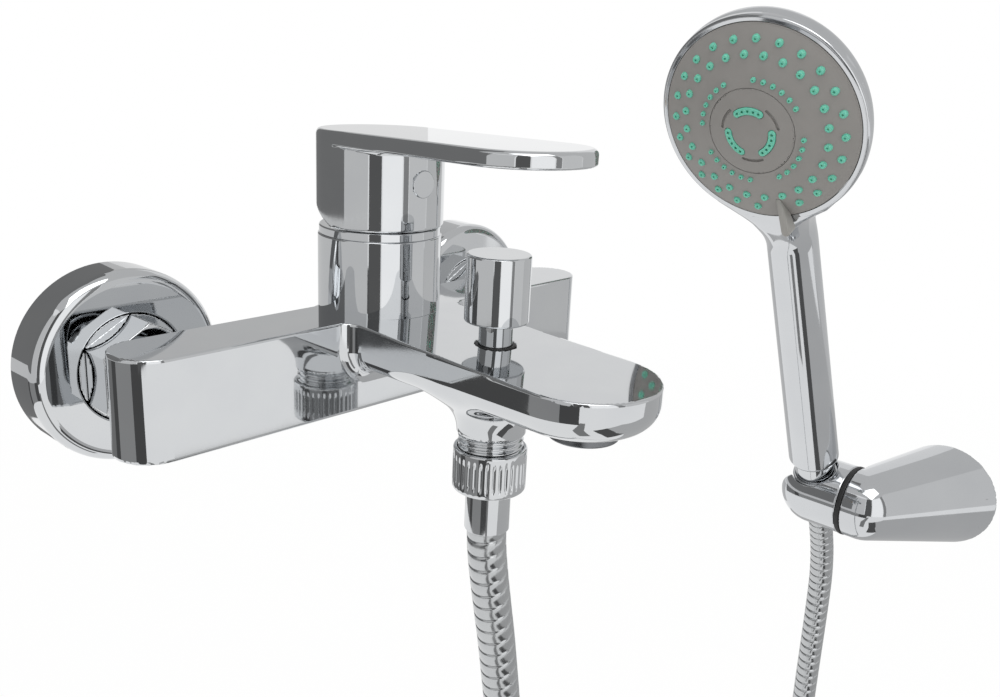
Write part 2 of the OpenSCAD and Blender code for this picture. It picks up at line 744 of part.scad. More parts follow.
// Diverter
module diverter_knob() {
    edge = 0.8;
    socket = 9;
    color(chrome) at_diverter(knob_z) difference() {
        rotate_extrude() polygon([[0, 0], [knob_r - edge, 0], [knob_r, edge], [knob_r, knob_h - edge],
            [knob_r - edge, knob_h], [0, knob_h]]);
        translate([0, 0, -cut]) cylinder(r = stem_r + seat_gap, h = socket + cut);
    }
}
module diverter_stem() {
    into_knob = 9;
    foot = valve_z + seal_t + valve_t;
    color(chrome) at_diverter(foot) cylinder(r = stem_r, h = knob_z + into_knob - foot);
}
module diverter_valve() {
    color(brass) at_diverter(valve_z + seal_t) cylinder(r = valve_r, h = valve_t);
}
module diverter_seal() {
    color(black) at_diverter(valve_z) cylinder(r = valve_r, h = seal_t);
}
module stem_seal_ring() {
    proud = 0.35;
    color(black) at_diverter(spout_top_at_diverter - seal_ring_h)
        tube(stem_r + seal_ring_w - seat_gap, stem_r + run_gap, seal_ring_h + proud);
}

// Aerator
aerator_drop = 4;
module aerator_housing() {
    color(chrome) translate([0, aerator_y, spout_floor - aerator_drop])
        tube(aerator_r, aerator_r - 1.5, aerator_drop + 4.6);
}
module aerator_insert() {
    color("#55585c") translate([0, aerator_y, spout_floor - aerator_drop + 0.6]) difference() {
        cylinder(r = aerator_r - 1.5 - seat_gap, h = aerator_drop + 4);
        for (ring = [3, 6], a = [0:360/(2*ring):359]) rotate([0, 0, a]) translate([ring, 0, -cut])
            cylinder(r = 0.9, h = aerator_drop + 6);
    }
}
module aerator_seal() {
    color(black) translate([0, aerator_y, spout_floor + 4.6]) tube(aerator_r, aerator_r - 3, 1.4);
}

// Hose outlet and lower hose end
module outlet_nipple() {
    color(chrome) at_diverter() difference() {
        union() {
            translate([0, 0, nipple_end]) cylinder(r = pipe_r, h = -outlet_drop - nipple_end);
            translate([0, 0, -outlet_drop - cut])
                cylinder(r = valve_chamber_r - seat_gap, h = nipple_top + outlet_drop + cut);
        }
        translate([0, 0, nipple_end - cut]) cylinder(r = nipple_bore_r, h = nipple_top - nipple_end + 2*cut);
    }
}
module check_valve() {
    length = 10;
    color("#3a6ea5") at_diverter(nipple_end) difference() {
        cylinder(r = nipple_bore_r - seat_gap, h = length);
        for (a = [0:120:240]) rotate([0, 0, a]) translate([nipple_bore_r/2, 0, -cut])
            cylinder(r = 1.8, h = length + 2*cut);
    }
}
module hose_nut() {
    flutes = 36;
    rim = 2;
    color(chrome) at_diverter(hose_nut_floor) difference() {
        cylinder(r = hose_nut_r, h = hose_nut_h);
        translate([0, 0, nut_floor_t]) cylinder(r = pipe_r + run_gap, h = hose_nut_h);
        translate([0, 0, -cut]) cylinder(r = ferrule_r + run_gap, h = hose_nut_h);
        for (a = [0:360/flutes:359]) rotate([0, 0, a]) translate([hose_nut_r + 0.25, 0, 2*rim])
            cylinder(r = 0.7, h = hose_nut_h - 3*rim);
    }
}
module hose_washer_lower() {
    color(black) at_diverter(lower_washer_z) tube(ferrule_flange_r, nipple_bore_r, washer_t);
}
module ferrule(flange_r, flange_t, length, floor_at) {
    tube(flange_r, hose_bore/2, flange_t);
    translate([0, 0, -length]) difference() {
        cylinder(r = ferrule_r, h = length + flange_t/2);
        translate([0, 0, -cut]) cylinder(r = hose_r + 0.1, h = length - floor_at + cut);
        translate([0, 0, -cut]) cylinder(r = hose_bore/2, h = length + flange_t + cut);
    }
}
module hose_ferrule_lower() {
    top = hose_nut_floor + nut_floor_t;
    color(chrome) at_diverter(top)
        ferrule(ferrule_flange_r, ferrule_flange_t, top - ferrule_end, top - hose_start_z);
}
module hose_lower() {
    color("#b4b6b8") ribbed_hose(0, split_at, lower_ribs);
}
module hose_upper() {
    color("#b4b6b8") ribbed_hose(split_at, hose_len, upper_ribs);
}

// Upper hose end, seated in the cradle
module hose_ferrule_upper() {
    color(chrome) in_cradle() translate([0, 0, cone_floor])
        ferrule(ferrule_flange_r, upper_flange_t, cone_floor - upper_ferrule_end, cone_floor - hose_end_s);
}
module hose_washer_upper() {
    color(black) in_cradle() translate([0, 0, cone_floor + upper_flange_t])
        tube(ferrule_flange_r, hose_bore/2, washer_t);
}
module cone_nut() {
    color(chrome) in_cradle() difference() {
        translate([0, 0, cone_foot]) cylinder(r1 = cone_foot_r, r2 = cone_top_r, h = cone_top - cone_foot);
        translate([0, 0, cone_floor]) cylinder(r = pipe_r + run_gap, h = cone_top + cut);
        translate([0, 0, cone_foot - cut]) cylinder(r = ferrule_r + run_gap, h = cone_top - cone_foot);
    }
}

// Hand shower
module head_outline() {
    at_face(-rim_band) cylinder(r = rim_r, h = rim_band);
    at_face(-head_depth) intersection() {
        translate([0, 0, back_r]) sphere(r = back_r, $fn = 96);
        cylinder(r = rim_r, h = back_h);
    }
}
module handle_outline() {
    foot_edge = 2.2;
    tail_r = 4;
    tail_stop = 8;
    in_handset() rotate_extrude() polygon([[0, handle_foot], [handle_r - foot_edge, handle_foot],
        [handle_r, handle_foot + foot_edge], [handle_top_r, neck_start], [handle_top_r, neck_end],
        [tail_r, head_at - tail_stop], [0, head_at - tail_stop]]);
}
module neck_outline() {
    front = handle_top_r + rim_w;
    sink = 0.6;
    neck_depth = front + handle_top_r - rim_w;
    intersection() {
        in_handset() rotate_extrude() difference() {
            translate([0, neck_start]) square([neck_end_r - sink, neck_end - neck_start + 6*cut]);
            translate([handle_top_r + neck_flare - sink, neck_start]) circle(r = neck_flare);
        }
        in_handset() translate([-front, -rim_r, neck_start]) cube([neck_depth, 2*rim_r, 2*neck_flare]);
    }
}
module handset_shell() {
    color(chrome) difference() {
        union() {
            head_outline();
            handle_outline();
            neck_outline();
        }
        at_face(-seat_depth) cylinder(r = face_r + free_gap, h = seat_depth + cut);
        at_face(-seat_depth - distributor_t) cylinder(r = distributor_r + seat_gap, h = head_depth);
        in_handset() translate([0, 0, handle_foot - cut]) {
            cylinder(r = pipe_r - 2, h = head_at - handle_foot);
            cylinder(r = pipe_r + seat_gap, h = cone_top + cut);
        }
    }
}
module handset_nipple() {
    into_handle = 14;
    color(chrome) in_handset() difference() {
        translate([0, 0, cone_floor + upper_flange_t + washer_t])
            cylinder(r = pipe_r, h = handle_foot + into_handle - cone_floor - upper_flange_t - washer_t);
        cylinder(r = nipple_bore_r, h = 2*handle_foot);
    }
}
module water_tube() {
    wall = 1.4;
    start = handle_foot + 14;
    color(plastic) in_handset() translate([0, 0, start])
        tube(pipe_r - 2 - seat_gap, pipe_r - 2 - wall, head_at - face_r - start);
}
module spray_distributor() {
    port_r = 4;
    color(plastic) at_face(-seat_depth - distributor_t) difference() {
        cylinder(r = distributor_r, h = distributor_t);
        translate([0, 0, -cut]) cylinder(r = face_screw_r + seat_gap, h = distributor_t + 2*cut);
        for (a = [0:120:240]) rotate([0, 0, a]) translate([distributor_r/2, 0, -cut])
            cylinder(r = port_r, h = distributor_t + 2*cut);
    }
}
// Runs its children at every nozzle of the two rings, then of the four arcs. The outer ring leaves
// one place to the selector's fin
module at_ring_nozzles() {
    for (i = [0:ring_nozzles - 1]) {
        if (i != ring_nozzles/2) rotate([0, 0, selector_rest + 360*i/ring_nozzles])
            translate([outer_ring, 0, 0]) children();
        rotate([0, 0, selector_rest + 360*(i + 0.5)/ring_nozzles]) translate([second_ring, 0, 0]) children();
    }
}
module at_arc_nozzles() {
    for (g = [0:arc_groups - 1], i = [0:arc_nozzles - 1])
        rotate([0, 0, selector_rest + arc_first + 360*g/arc_groups + arc_step*i])
            translate([inner_ring, 0, 0]) children();
}
dome_centre = dome_h - dome_r;
module dome_cut(radius) { translate([0, 0, dome_centre]) sphere(r = radius, $fn = 128); }
module spray_face() {
    skirt_w = 2;
    color(face_grey) at_face() difference() {
        union() {
            intersection() {
                translate([0, 0, dome_centre]) ball_shell(dome_r, dome_r - face_t, $fn = 128);
                cylinder(r = face_r, h = dome_h + cut);
            }
            translate([0, 0, -seat_depth/2]) tube(face_r, face_r - skirt_w, seat_depth/2 + 0.2);
            intersection() {
                translate([0, 0, web_z]) tube(centre_r + well_wall, centre_r - cut, dome_h);
                dome_cut(dome_r);
            }
            translate([0, 0, web_z]) cylinder(r = centre_r + well_wall, h = web_t);
            translate([0, 0, -seat_depth + free_gap])
                cylinder(r = hub_core_r, h = web_z + seat_depth - free_gap + cut);
        }
        translate([0, 0, web_z + web_t]) cylinder(r = centre_r, h = dome_h);
        translate([0, 0, -seat_depth]) cylinder(r = face_screw_r + run_gap, h = 2*seat_depth);
        at_ring_nozzles() cylinder(r = nozzle_r + seat_gap, h = 2*dome_h);
        at_arc_nozzles() cylinder(r = small_nozzle_r + seat_gap, h = 2*dome_h);
    }
}
module nozzle_mat() {
    under = dome_r - face_t - seat_gap;
    color(teal) at_face() {
        difference() {
            intersection() {
                translate([0, 0, dome_centre]) ball_shell(under, under - mat_t, $fn = 128);
                tube(face_r - 3, centre_r + well_wall + free_gap, dome_h);
            }
        }
        intersection() {
            dome_cut(dome_r + nozzle_out);
            difference() {
                union() {
                    at_ring_nozzles() cylinder(r = nozzle_r, h = 2*dome_h);
                    at_arc_nozzles() cylinder(r = small_nozzle_r, h = 2*dome_h);
                }
                dome_cut(under - mat_t/2);
            }
        }
    }
}
module pad_arcs(radius, width, arc, first) {
    for (i = [0:pad_count - 1]) rotate([0, 0, first + 360*i/pad_count - arc/2])
        rotate_extrude(angle = arc) translate([radius - width/2, 0]) square([width, dome_h + cut]);
}
module centre_disc() {
    cap_t = 1.8;
    skirt_w = 2;
    outer = centre_r - 0.15;
    color(face_grey) at_face() difference() {
        intersection() {
            union() {
                intersection() {
                    translate([0, 0, dome_centre]) ball_shell(dome_r, dome_r - cap_t, $fn = 128);
                    cylinder(r = outer, h = dome_h + cut);
                }
                translate([0, 0, web_z + web_t]) tube(outer, outer - skirt_w, dome_h - web_z - web_t);
            }
            dome_cut(dome_r);
        }
        pad_arcs(pad_ring, pad_w + 2*seat_gap, pad_arc, 0);
        pad_arcs(slot_ring, slot_w, slot_arc, 180/pad_count);
    }
}
module centre_pads() {
    color(teal) at_face() intersection() {
        pad_arcs(pad_ring, pad_w, pad_arc - 1, 0);
        translate([0, 0, dome_centre]) ball_shell(dome_r + pad_out, dome_r - 2.4, $fn = 128);
    }
}
module face_screw() {
    head_t = 2;
    color("#a9adb2") at_face() {
        translate([0, 0, -seat_depth - distributor_t + 1]) cylinder(r = face_screw_r,
            h = seat_depth + distributor_t - 1 + web_z + web_t + free_gap);
        translate([0, 0, web_z + web_t + free_gap]) cylinder(r = face_screw_head_r, h = head_t);
    }
}
function arc_points(centre, radius, from, to, n) = [
    for (k = [0:n]) let (a = from + (to - from)*k/n) [centre + radius*cos(a), radius*sin(a)]];
module selector_fin() {
    inner = face_r - 10.8;
    outer = face_r + 8;
    tip_r = 1.4;
    end_r = 2.7;
    height = 6.5;
    lift = free_gap + 0.2;
    color("#a5a3a0") at_face(lift) rotate([0, 0, selector_rest]) difference() {
        linear_extrude(height = height) polygon(concat(
            arc_points(-inner - tip_r, tip_r, -95, 95, 8),
            arc_points(-outer + end_r, end_r, 95, 265, 12)));
        translate([0, 0, dome_centre - lift]) sphere(r = dome_r, $fn = 128);
    }
}

// Bracket
module cradle() {
    hose_slot = hose_d + 2;
    color(chrome) difference() {
        on_swivel() rotate_extrude() intersection() {
            union() {
                circle(r = cradle_r);
                square([cradle_r, cradle_l]);
            }
            translate([0, -cradle_r]) square([cradle_r, cradle_r + cradle_l]);
        }
        in_cradle() translate([0, 0, cone_foot - cradle_r])
            cylinder(r = cone_foot_r + free_gap, h = cradle_r);
        in_cradle() translate([0, 0, cone_foot])
            cylinder(r1 = cone_foot_r + free_gap, r2 = cone_top_r + free_gap, h = cone_top - cone_foot);
        in_cradle() translate([0, 0, cone_top]) cylinder(r = cone_top_r + free_gap, h = cradle_r);
        in_cradle() translate([-hose_slot/2, 0, -cradle_d]) cube([hose_slot, cradle_d, 2*cradle_d]);
        on_swivel() cylinder(r = axle_r + run_gap, h = cradle_l + cut);
        on_swivel() cylinder(r = axle_head_r + free_gap, h = axle_seat);
    }
}
module friction_ring() {
    color(black) on_swivel(cradle_l + run_gap) tube(cradle_r + 0.3, axle_r + 1, ring_t);
}
base_start = cradle_l + run_gap + ring_t;
plate_at = [side_wall, -(cradle_out + plate_out + base_start - cradle_l), -swivel_drop];
module at_plate(z = 0) { translate(plate_at) rotate([0, -90, 0]) translate([0, 0, z]) children(); }
module pivot_washer() {
    color("#a9adb2") on_swivel(axle_seat - axle_washer_t)
        tube(axle_head_r - 0.3, axle_r + run_gap, axle_washer_t);
}
module pivot_screw() {
    head_at_z = axle_seat - axle_washer_t - axle_head_t;
    color("#a9adb2") {
        on_swivel(head_at_z) cylinder(r = axle_head_r, h = axle_head_t);
        on_swivel(head_at_z) cylinder(r = axle_r, h = axle_l);
    }
}
module bracket_base() {
    rim_t = 2.5;
    color(chrome) difference() {
        hull() {
            on_swivel(base_start) cylinder(r = cradle_r, h = shoulder_l, $fn = 48);
            on_swivel(base_start + shoulder_l) sphere(r = cradle_r, $fn = 48);
            at_plate() cylinder(r = plate_r, h = rim_t, $fn = 64);
        }
        on_swivel(base_start - cradle_d) cylinder(r = cradle_d, h = cradle_d);
        on_swivel(base_start - cut)
            cylinder(r = axle_r + seat_gap, h = axle_end + free_gap - base_start + cut);
        at_plate(-cut) cylinder(r = plate_inner_r, h = plate_t + free_gap + cut);
        at_plate(plate_t/2) rotate([0, -90, 0]) cylinder(r = screw_r + seat_gap, h = plate_d);
    }
}
module bracket_plate() {
    color(plastic) at_plate() difference() {
        cylinder(r = plate_inner_r - seat_gap, h = plate_t);
        for (side = [-1, 1]) translate([side*screw_spacing/2, 0, -cut])
            cylinder(r = wall_screw_r, h = plate_t + 2*cut);
    }
}
module bracket_grub_screw() {
    length = plate_r - plate_inner_r;
    color("#8d9196") at_plate(plate_t/2) rotate([0, -90, 0]) translate([0, 0, plate_inner_r]) difference() {
        cylinder(r = screw_r, h = length - 0.4);
        translate([0, 0, length - 2]) cylinder(r = 1.3, h = 3, $fn = 6);
    }
}

mixer_body();
tower_sleeve();
trim_ring();
retaining_nut();
cartridge_base();
cartridge_seals();
cartridge_housing();
fixed_disc();
sliding_disc();
stem_guide();
stem_pin();
cartridge_stem();
lever_handle();
lever_grub_screw();
indicator_plug();
union_left();
union_right();
rosette_left();
rosette_right();
union_nut_left();
union_nut_right();
inlet_tail_left();
inlet_tail_right();
union_washers();
diverter_knob();
diverter_stem();
diverter_valve();
diverter_seal();
stem_seal_ring();
aerator_housing();
aerator_insert();
aerator_seal();
outlet_nipple();
check_valve();
hose_nut();
hose_washer_lower();
hose_ferrule_lower();
hose_lower();
hose_upper();
hose_ferrule_upper();
hose_washer_upper();
cone_nut();
handset_shell();
handset_nipple();
water_tube();
spray_distributor();
spray_face();
nozzle_mat();
centre_disc();
centre_pads();
face_screw();
selector_fin();
cradle();
friction_ring();
pivot_screw();
pivot_washer();
bracket_base();
bracket_plate();
bracket_grub_screw();
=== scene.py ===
# %% [markdown]
# A bath shower mixer, dressed for looks: a cast and chromed mixer body on two wall unions, a lever on a
# cartridge tower, a pull-up diverter, a wound steel hose and a hand shower in a tilting wall bracket.
# The imported CAD model comes first, as a frame: its sizes and joints are fixed, and every visible piece
# below is set where the CAD says.

# %% Load the frame
import math
from itertools import product

import bpy
import numpy as np
from mathutils import Matrix


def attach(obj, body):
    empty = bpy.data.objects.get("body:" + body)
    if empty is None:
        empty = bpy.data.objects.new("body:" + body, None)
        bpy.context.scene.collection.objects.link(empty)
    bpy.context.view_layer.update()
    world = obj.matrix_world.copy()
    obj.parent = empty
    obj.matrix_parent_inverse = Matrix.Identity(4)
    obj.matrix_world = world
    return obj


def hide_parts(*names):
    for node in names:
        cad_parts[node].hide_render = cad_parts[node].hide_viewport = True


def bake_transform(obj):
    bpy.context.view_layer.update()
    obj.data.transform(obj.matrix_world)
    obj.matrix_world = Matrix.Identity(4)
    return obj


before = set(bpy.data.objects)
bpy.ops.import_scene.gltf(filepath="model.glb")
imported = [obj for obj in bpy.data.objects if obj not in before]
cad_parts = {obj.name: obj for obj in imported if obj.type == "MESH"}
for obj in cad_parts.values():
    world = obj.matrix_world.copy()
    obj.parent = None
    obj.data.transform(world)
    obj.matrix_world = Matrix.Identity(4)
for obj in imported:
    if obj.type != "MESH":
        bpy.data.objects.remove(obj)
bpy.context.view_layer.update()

MM = 0.001

# %% [markdown]
# The camera stands a little above the mixer and to its left, about half a metre away. Its place and lens
# were solved from the object's own straight edges, so the picture can be compared point by point.
# The direction is built from three plain angles, which is easier to read than a matrix of numbers.

# %% Camera
AZIMUTH, ELEVATION, ROLL = (math.radians(a) for a in (47.5, 16.68, 2.79))
CAMERA_AT = (-217.92, -302.46, 101.69)
LENS, SENSOR = 36.18, 36.0

look = np.array([math.cos(ELEVATION) * math.sin(AZIMUTH),
                 math.cos(ELEVATION) * math.cos(AZIMUTH), -math.sin(ELEVATION)])
level = np.array([math.cos(AZIMUTH), -math.sin(AZIMUTH), 0.0])
upright = np.cross(level, look)
right = level * math.cos(ROLL) + upright * math.sin(ROLL)
above = upright * math.cos(ROLL) - level * math.sin(ROLL)

camera_data = bpy.data.cameras.new("studio_camera")
camera_data.lens, camera_data.sensor_width = LENS, SENSOR
camera_data.clip_start, camera_data.clip_end = 0.01, 50.0
camera = bpy.data.objects.new("studio_camera", camera_data)
pose = Matrix([(right[i], above[i], -look[i], CAMERA_AT[i] * MM) for i in range(3)] + [(0, 0, 0, 1)])
camera.matrix_world = pose
bpy.context.scene.collection.objects.link(camera)
bpy.context.scene.camera = camera
print("camera looks along", look.round(3))

# %% [markdown]
# Colours are written as sRGB hex values, as a paint chart gives them, and shaders want linear light, so
# one function turns one into the other. One small function adds a shader node, sets its options and fills
# or links its sockets. Every finish below starts from a shader with its object coordinates in metres.

# %% Colour and node helpers
def linear(colour):
    """Turn an sRGB hex colour into linear RGBA."""
    parts = [int(colour[i:i + 2], 16) / 255 for i in (1, 3, 5)]
    return [p / 12.92 if p <= 0.04045 else ((p + 0.055) / 1.055) ** 2.4 for p in parts] + [1.0]


def add(tree, kind, settings=(), sockets=()):
    """Add one shader node, set its options, and fill or link its sockets."""
    node = tree.nodes.new("ShaderNode" + kind)
    for name, value in dict(settings).items():
        setattr(node, name, value)
    for name, value in dict(sockets).items():
        if isinstance(value, bpy.types.NodeSocket):
            tree.links.new(value, node.inputs[name])
        else:
            node.inputs[name].default_value = value
    return node


def start_finish(name, colour, metallic, roughness):
    """A named material with its shader, and coordinates for its patterns."""
    material = bpy.data.materials.new(name)
    material.use_nodes = True
    tree = material.node_tree
    shader = tree.nodes["Principled BSDF"]
    shader.inputs["Base Color"].default_value = linear(colour)
    shader.inputs["Metallic"].default_value = metallic
    shader.inputs["Roughness"].default_value = roughness
    return material, tree, shader, add(tree, "TexCoord").outputs["Object"]


def per_metre(size_mm):
    """Noise scale that gives spots of about this size."""
    return 1000.0 / size_mm


def mottle(tree, shader, place, size_mm, colours, roughness, detail=3.0):
    """One noise gives a surface its slight change of colour and of gloss."""
    noise = add(tree, "TexNoise", {}, {"Vector": place, "Scale": per_metre(size_mm), "Detail": detail})
    tint = add(tree, "MixRGB", {}, {"Fac": noise.outputs["Fac"], "Color1": linear(colours[0]),
                                    "Color2": linear(colours[1])})
    gloss = add(tree, "MapRange", {}, {"Value": noise.outputs["Fac"], "From Min": 0.3, "From Max": 0.7,
                                       "To Min": roughness[0], "To Max": roughness[1]})
    tree.links.new(tint.outputs["Color"], shader.inputs["Base Color"])
    tree.links.new(gloss.outputs["Result"], shader.inputs["Roughness"])
    return noise


def dent(tree, shader, height, strength, depth_mm):
    """A fine bump from a height socket."""
    bump = add(tree, "Bump", {}, {"Height": height, "Strength": strength, "Distance": depth_mm * MM})
    tree.links.new(bump.outputs["Normal"], shader.inputs["Normal"])


# %% [markdown]
# Chrome plating is a hard, blue-white mirror a few thousandths of a millimetre thick, over polished brass
# or over moulded ABS. To the eye it is only what it reflects, so it needs low roughness, and the small
# unevenness that buffing leaves: soft patches 14 mm wide where the gloss changes. The plating on plastic
# follows a mould instead of a buffing wheel, so its patches are larger and the mirror is a touch softer.
# The aerator's ring is satin, and its colour is painted darker than chrome: a painted dark reflection.

# %% Chrome finishes
chrome_brass, tree, shader, place = start_finish("chrome_plated_brass_buffed", "#d2d4d6", 1.0, 0.04)
mottle(tree, shader, place, 14.0, ("#cdcfd2", "#d6d8d9"), (0.025, 0.055))

chrome_abs, tree, shader, place = start_finish("chrome_plated_ABS_moulded", "#d0d2d4", 1.0, 0.06)
mottle(tree, shader, place, 25.0, ("#cbcdd0", "#d4d6d8"), (0.045, 0.08))

# Painted dark reflection: the aerator ring's chrome is given a darker grey colour.
chrome_painted_dark, tree, shader, place = start_finish("chrome_satin_painted_dark_reflection", "#7e8083", 1.0, 0.25)
mottle(tree, shader, place, 6.0, ("#797b7e", "#848689"), (0.2, 0.3))
print("plated finishes:", chrome_brass.name, chrome_abs.name, chrome_painted_dark.name)

# %% [markdown]
# The hose is a stainless strip, wound and locked into itself. The strip is bright on its bands, and the
# seam between two bands holds shade and a little dirt. Brass behind the wall is left as turned: yellow,
# with tool rings about 0.4 mm apart, drawn at 0.8 mm because the render would not show them finer.

# %% Steel and brass finishes
hose_steel, tree, shader, place = start_finish("stainless_strip_wound", "#bfc1c3", 1.0, 0.16)
mottle(tree, shader, place, 6.0, ("#b6b8ba", "#c8cacb"), (0.12, 0.22))

turned_brass, tree, shader, place = start_finish("brass_turned", "#b8955a", 1.0, 0.3)
mottle(tree, shader, place, 3.0, ("#ad8a50", "#c3a067"), (0.24, 0.4))
rings = add(tree, "TexWave", {"wave_type": "BANDS", "bands_direction": "Y"},
            {"Vector": place, "Scale": per_metre(0.8) / math.tau, "Distortion": 0.4})
dent(tree, shader, rings.outputs["Fac"], 0.3, 0.05)

screw_steel, tree, shader, place = start_finish("stainless_steel_turned", "#a9adb2", 1.0, 0.28)
mottle(tree, shader, place, 2.0, ("#a0a4a9", "#b3b7bb"), (0.22, 0.36))
print("metals:", hose_steel.name, turned_brass.name, screw_steel.name)

# %% [markdown]
# The spray face is ABS with a satin warm-grey paint: no sharp reflections, only a soft sheen, and a fine
# grit of about 0.25 mm in the paint. The nozzles are teal silicone rubber, slightly see-through at thin
# edges, so a little light passes under its skin. Hidden plastics are plain moulded acetal and ceramic.

# %% Plastic, rubber and ceramic finishes
def moulded(name, colours, roughness, size_mm, depth_mm, detail=3.0):
    """A moulded plastic, rubber or ceramic: two close tones, a change of gloss, and a fine grit."""
    material, tree, shader, place = start_finish(name, colours[0], 0.0, roughness[0])
    mottle(tree, shader, place, size_mm * 12, colours, roughness, detail)
    grit = add(tree, "TexNoise", {}, {"Vector": place, "Scale": per_metre(size_mm), "Detail": 2.0})
    dent(tree, shader, grit.outputs["Fac"], 0.25, depth_mm)
    return material


face_paint = moulded("ABS_satin_painted", ("#868380", "#8d8a87"), (0.38, 0.48), 0.5, 0.03)
fin_paint = moulded("ABS_satin_painted_light", ("#918f8b", "#989692"), (0.34, 0.44), 0.5, 0.03)
silicone = moulded("silicone_moulded_teal", ("#62b9a0", "#6fc6ad"), (0.4, 0.5), 0.4, 0.02)
silicone.node_tree.nodes["Principled BSDF"].inputs["Subsurface Weight"].default_value = 0.15
silicone.node_tree.nodes["Principled BSDF"].inputs["Subsurface Scale"].default_value = 0.6 * MM
rubber = moulded("EPDM_rubber_moulded", ("#1a1a1b", "#232324"), (0.5, 0.65), 0.5, 0.03)
acetal = moulded("acetal_moulded_white", ("#e4e2dc", "#ebe9e4"), (0.4, 0.5), 0.6, 0.03)
dark_acetal = moulded("acetal_moulded_dark", ("#3b3d40", "#45474a"), (0.4, 0.5), 0.6, 0.03)
blue_acetal = moulded("acetal_moulded_blue", ("#36689b", "#3e74ab"), (0.4, 0.5), 0.6, 0.03)
ceramic = moulded("alumina_lapped", ("#efece2", "#f5f2ea"), (0.2, 0.3), 0.8, 0.01)
print("plastics:", face_paint.name, silicone.name, rubber.name, ceramic.name)

# %% [markdown]
# A piece is a mesh with a name, a finish and a place in the CAD model: it rides on a body, and stands for
# the CAD node that it hides. One function does all of that, from a part made of points in millimetres,
# faces, and normals where the surface is exact.


def piece(name, part, finish, body=None, node=None):
    """Make the object of a part, set it on its body, and hide the CAD node that it stands for."""
    points, faces, normals = part
    mesh = bpy.data.meshes.new(name)
    mesh.from_pydata((np.asarray(points, float) * MM).tolist(), [], faces)
    mesh.materials.append(finish)
    mesh.shade_smooth()
    if normals is not None:
        mesh.normals_split_custom_set_from_vertices(np.asarray(normals, float).tolist())
    thing = bpy.data.objects.new(name, mesh)
    bpy.context.scene.collection.objects.link(thing)
    if body:
        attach(thing, body)
    if node:
        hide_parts(node)
    print(f"{name}: {len(points)} points, {len(faces)} faces")
    return thing


# %% [markdown]
# The hose hangs from the mixer's outlet in one long loop and comes up into the cone nut of the hand
# shower. A bevelled curve would give a smooth tube, but a real hose of this kind is a row of bands, so
# the tube is swept as a mesh: six rings for each band of 5 mm, with a narrow seam between bands and a
# slight slant, as the winding has. The route is the CAD hose's own, point by point.

# %% Hose route
HOSE_D = 13.0
HOSE_R = HOSE_D / 2
BANDS = 228
HOSE_ROUTE = np.array([
    (0, -100.7, -35), (0, -100.7, -41.5), (0, -100.7, -48), (0.6, -100.7, -56), (2.2, -100.7, -66),
    (4.8, -100.6, -79), (8.6, -100.5, -98), (15, -100, -135), (20, -99.5, -180), (22.5, -99, -235),
    (23, -98.5, -290), (23, -98, -345), (24, -97.5, -400), (29, -96.5, -450), (44, -95, -498),
    (72, -93.5, -536), (116, -92, -557), (168, -90.5, -562), (220, -89, -557), (264, -88, -536),
    (292, -87, -498), (307, -86.5, -450), (312, -86, -400), (313, -86, -345), (313.5, -85.5, -295),
    (313.2, -85.2, -250), (312.8, -85, -209), (311.3, -85, -189), (307.2, -85, -171),
    (300.68, -85, -154.19), (295.18, -85, -142.41), (292.44, -85, -136.52), (289.69, -85, -130.63)])


def smooth_line(route, steps=8):
    """A smooth curve through every point of a route."""
    ends = np.vstack([route[:1], route, route[-1:]])
    line = []
    for a, b, c, d in zip(ends, ends[1:], ends[2:], ends[3:]):
        for t in np.arange(steps) / steps:
            line.append(0.5 * (2 * b + (c - a) * t + (2 * a - 5 * b + 4 * c - d) * t ** 2
                               + (3 * b - a - 3 * c + d) * t ** 3))
    return np.vstack([line, route[-1:]])


hose_line = smooth_line(HOSE_ROUTE)
hose_runs = np.concatenate([[0], np.cumsum(np.linalg.norm(np.diff(hose_line, axis=0), axis=1))])
hose_length = hose_runs[-1]
band_pitch = hose_length / BANDS


def on_hose(run):
    """Points of the hose's centre line at these lengths from its lower end."""
    return np.stack([np.interp(run, hose_runs, hose_line[:, k]) for k in range(3)], -1)


print(f"hose: {hose_length:.0f} mm of tube, bands {band_pitch:.2f} mm apart")

# %% [markdown]
# The loop is cut in three. Most of it hangs still from the mixer and rides on it. The riser runs between
# the fixed part and the tilting cradle, and the top end between the cradle and the cone nut, which lifts
# out; both are set in place as they hang. Each cut is at a seam, where the next piece starts with the same
# ring.

# %% Hose pieces
BAND_RINGS = ((0.0, 0.75), (0.045, 0.16), (0.11, 0.02), (0.5, 0.0), (0.89, 0.02), (0.955, 0.16))
HOSE_SIDES = 28
SLANT = -1.0


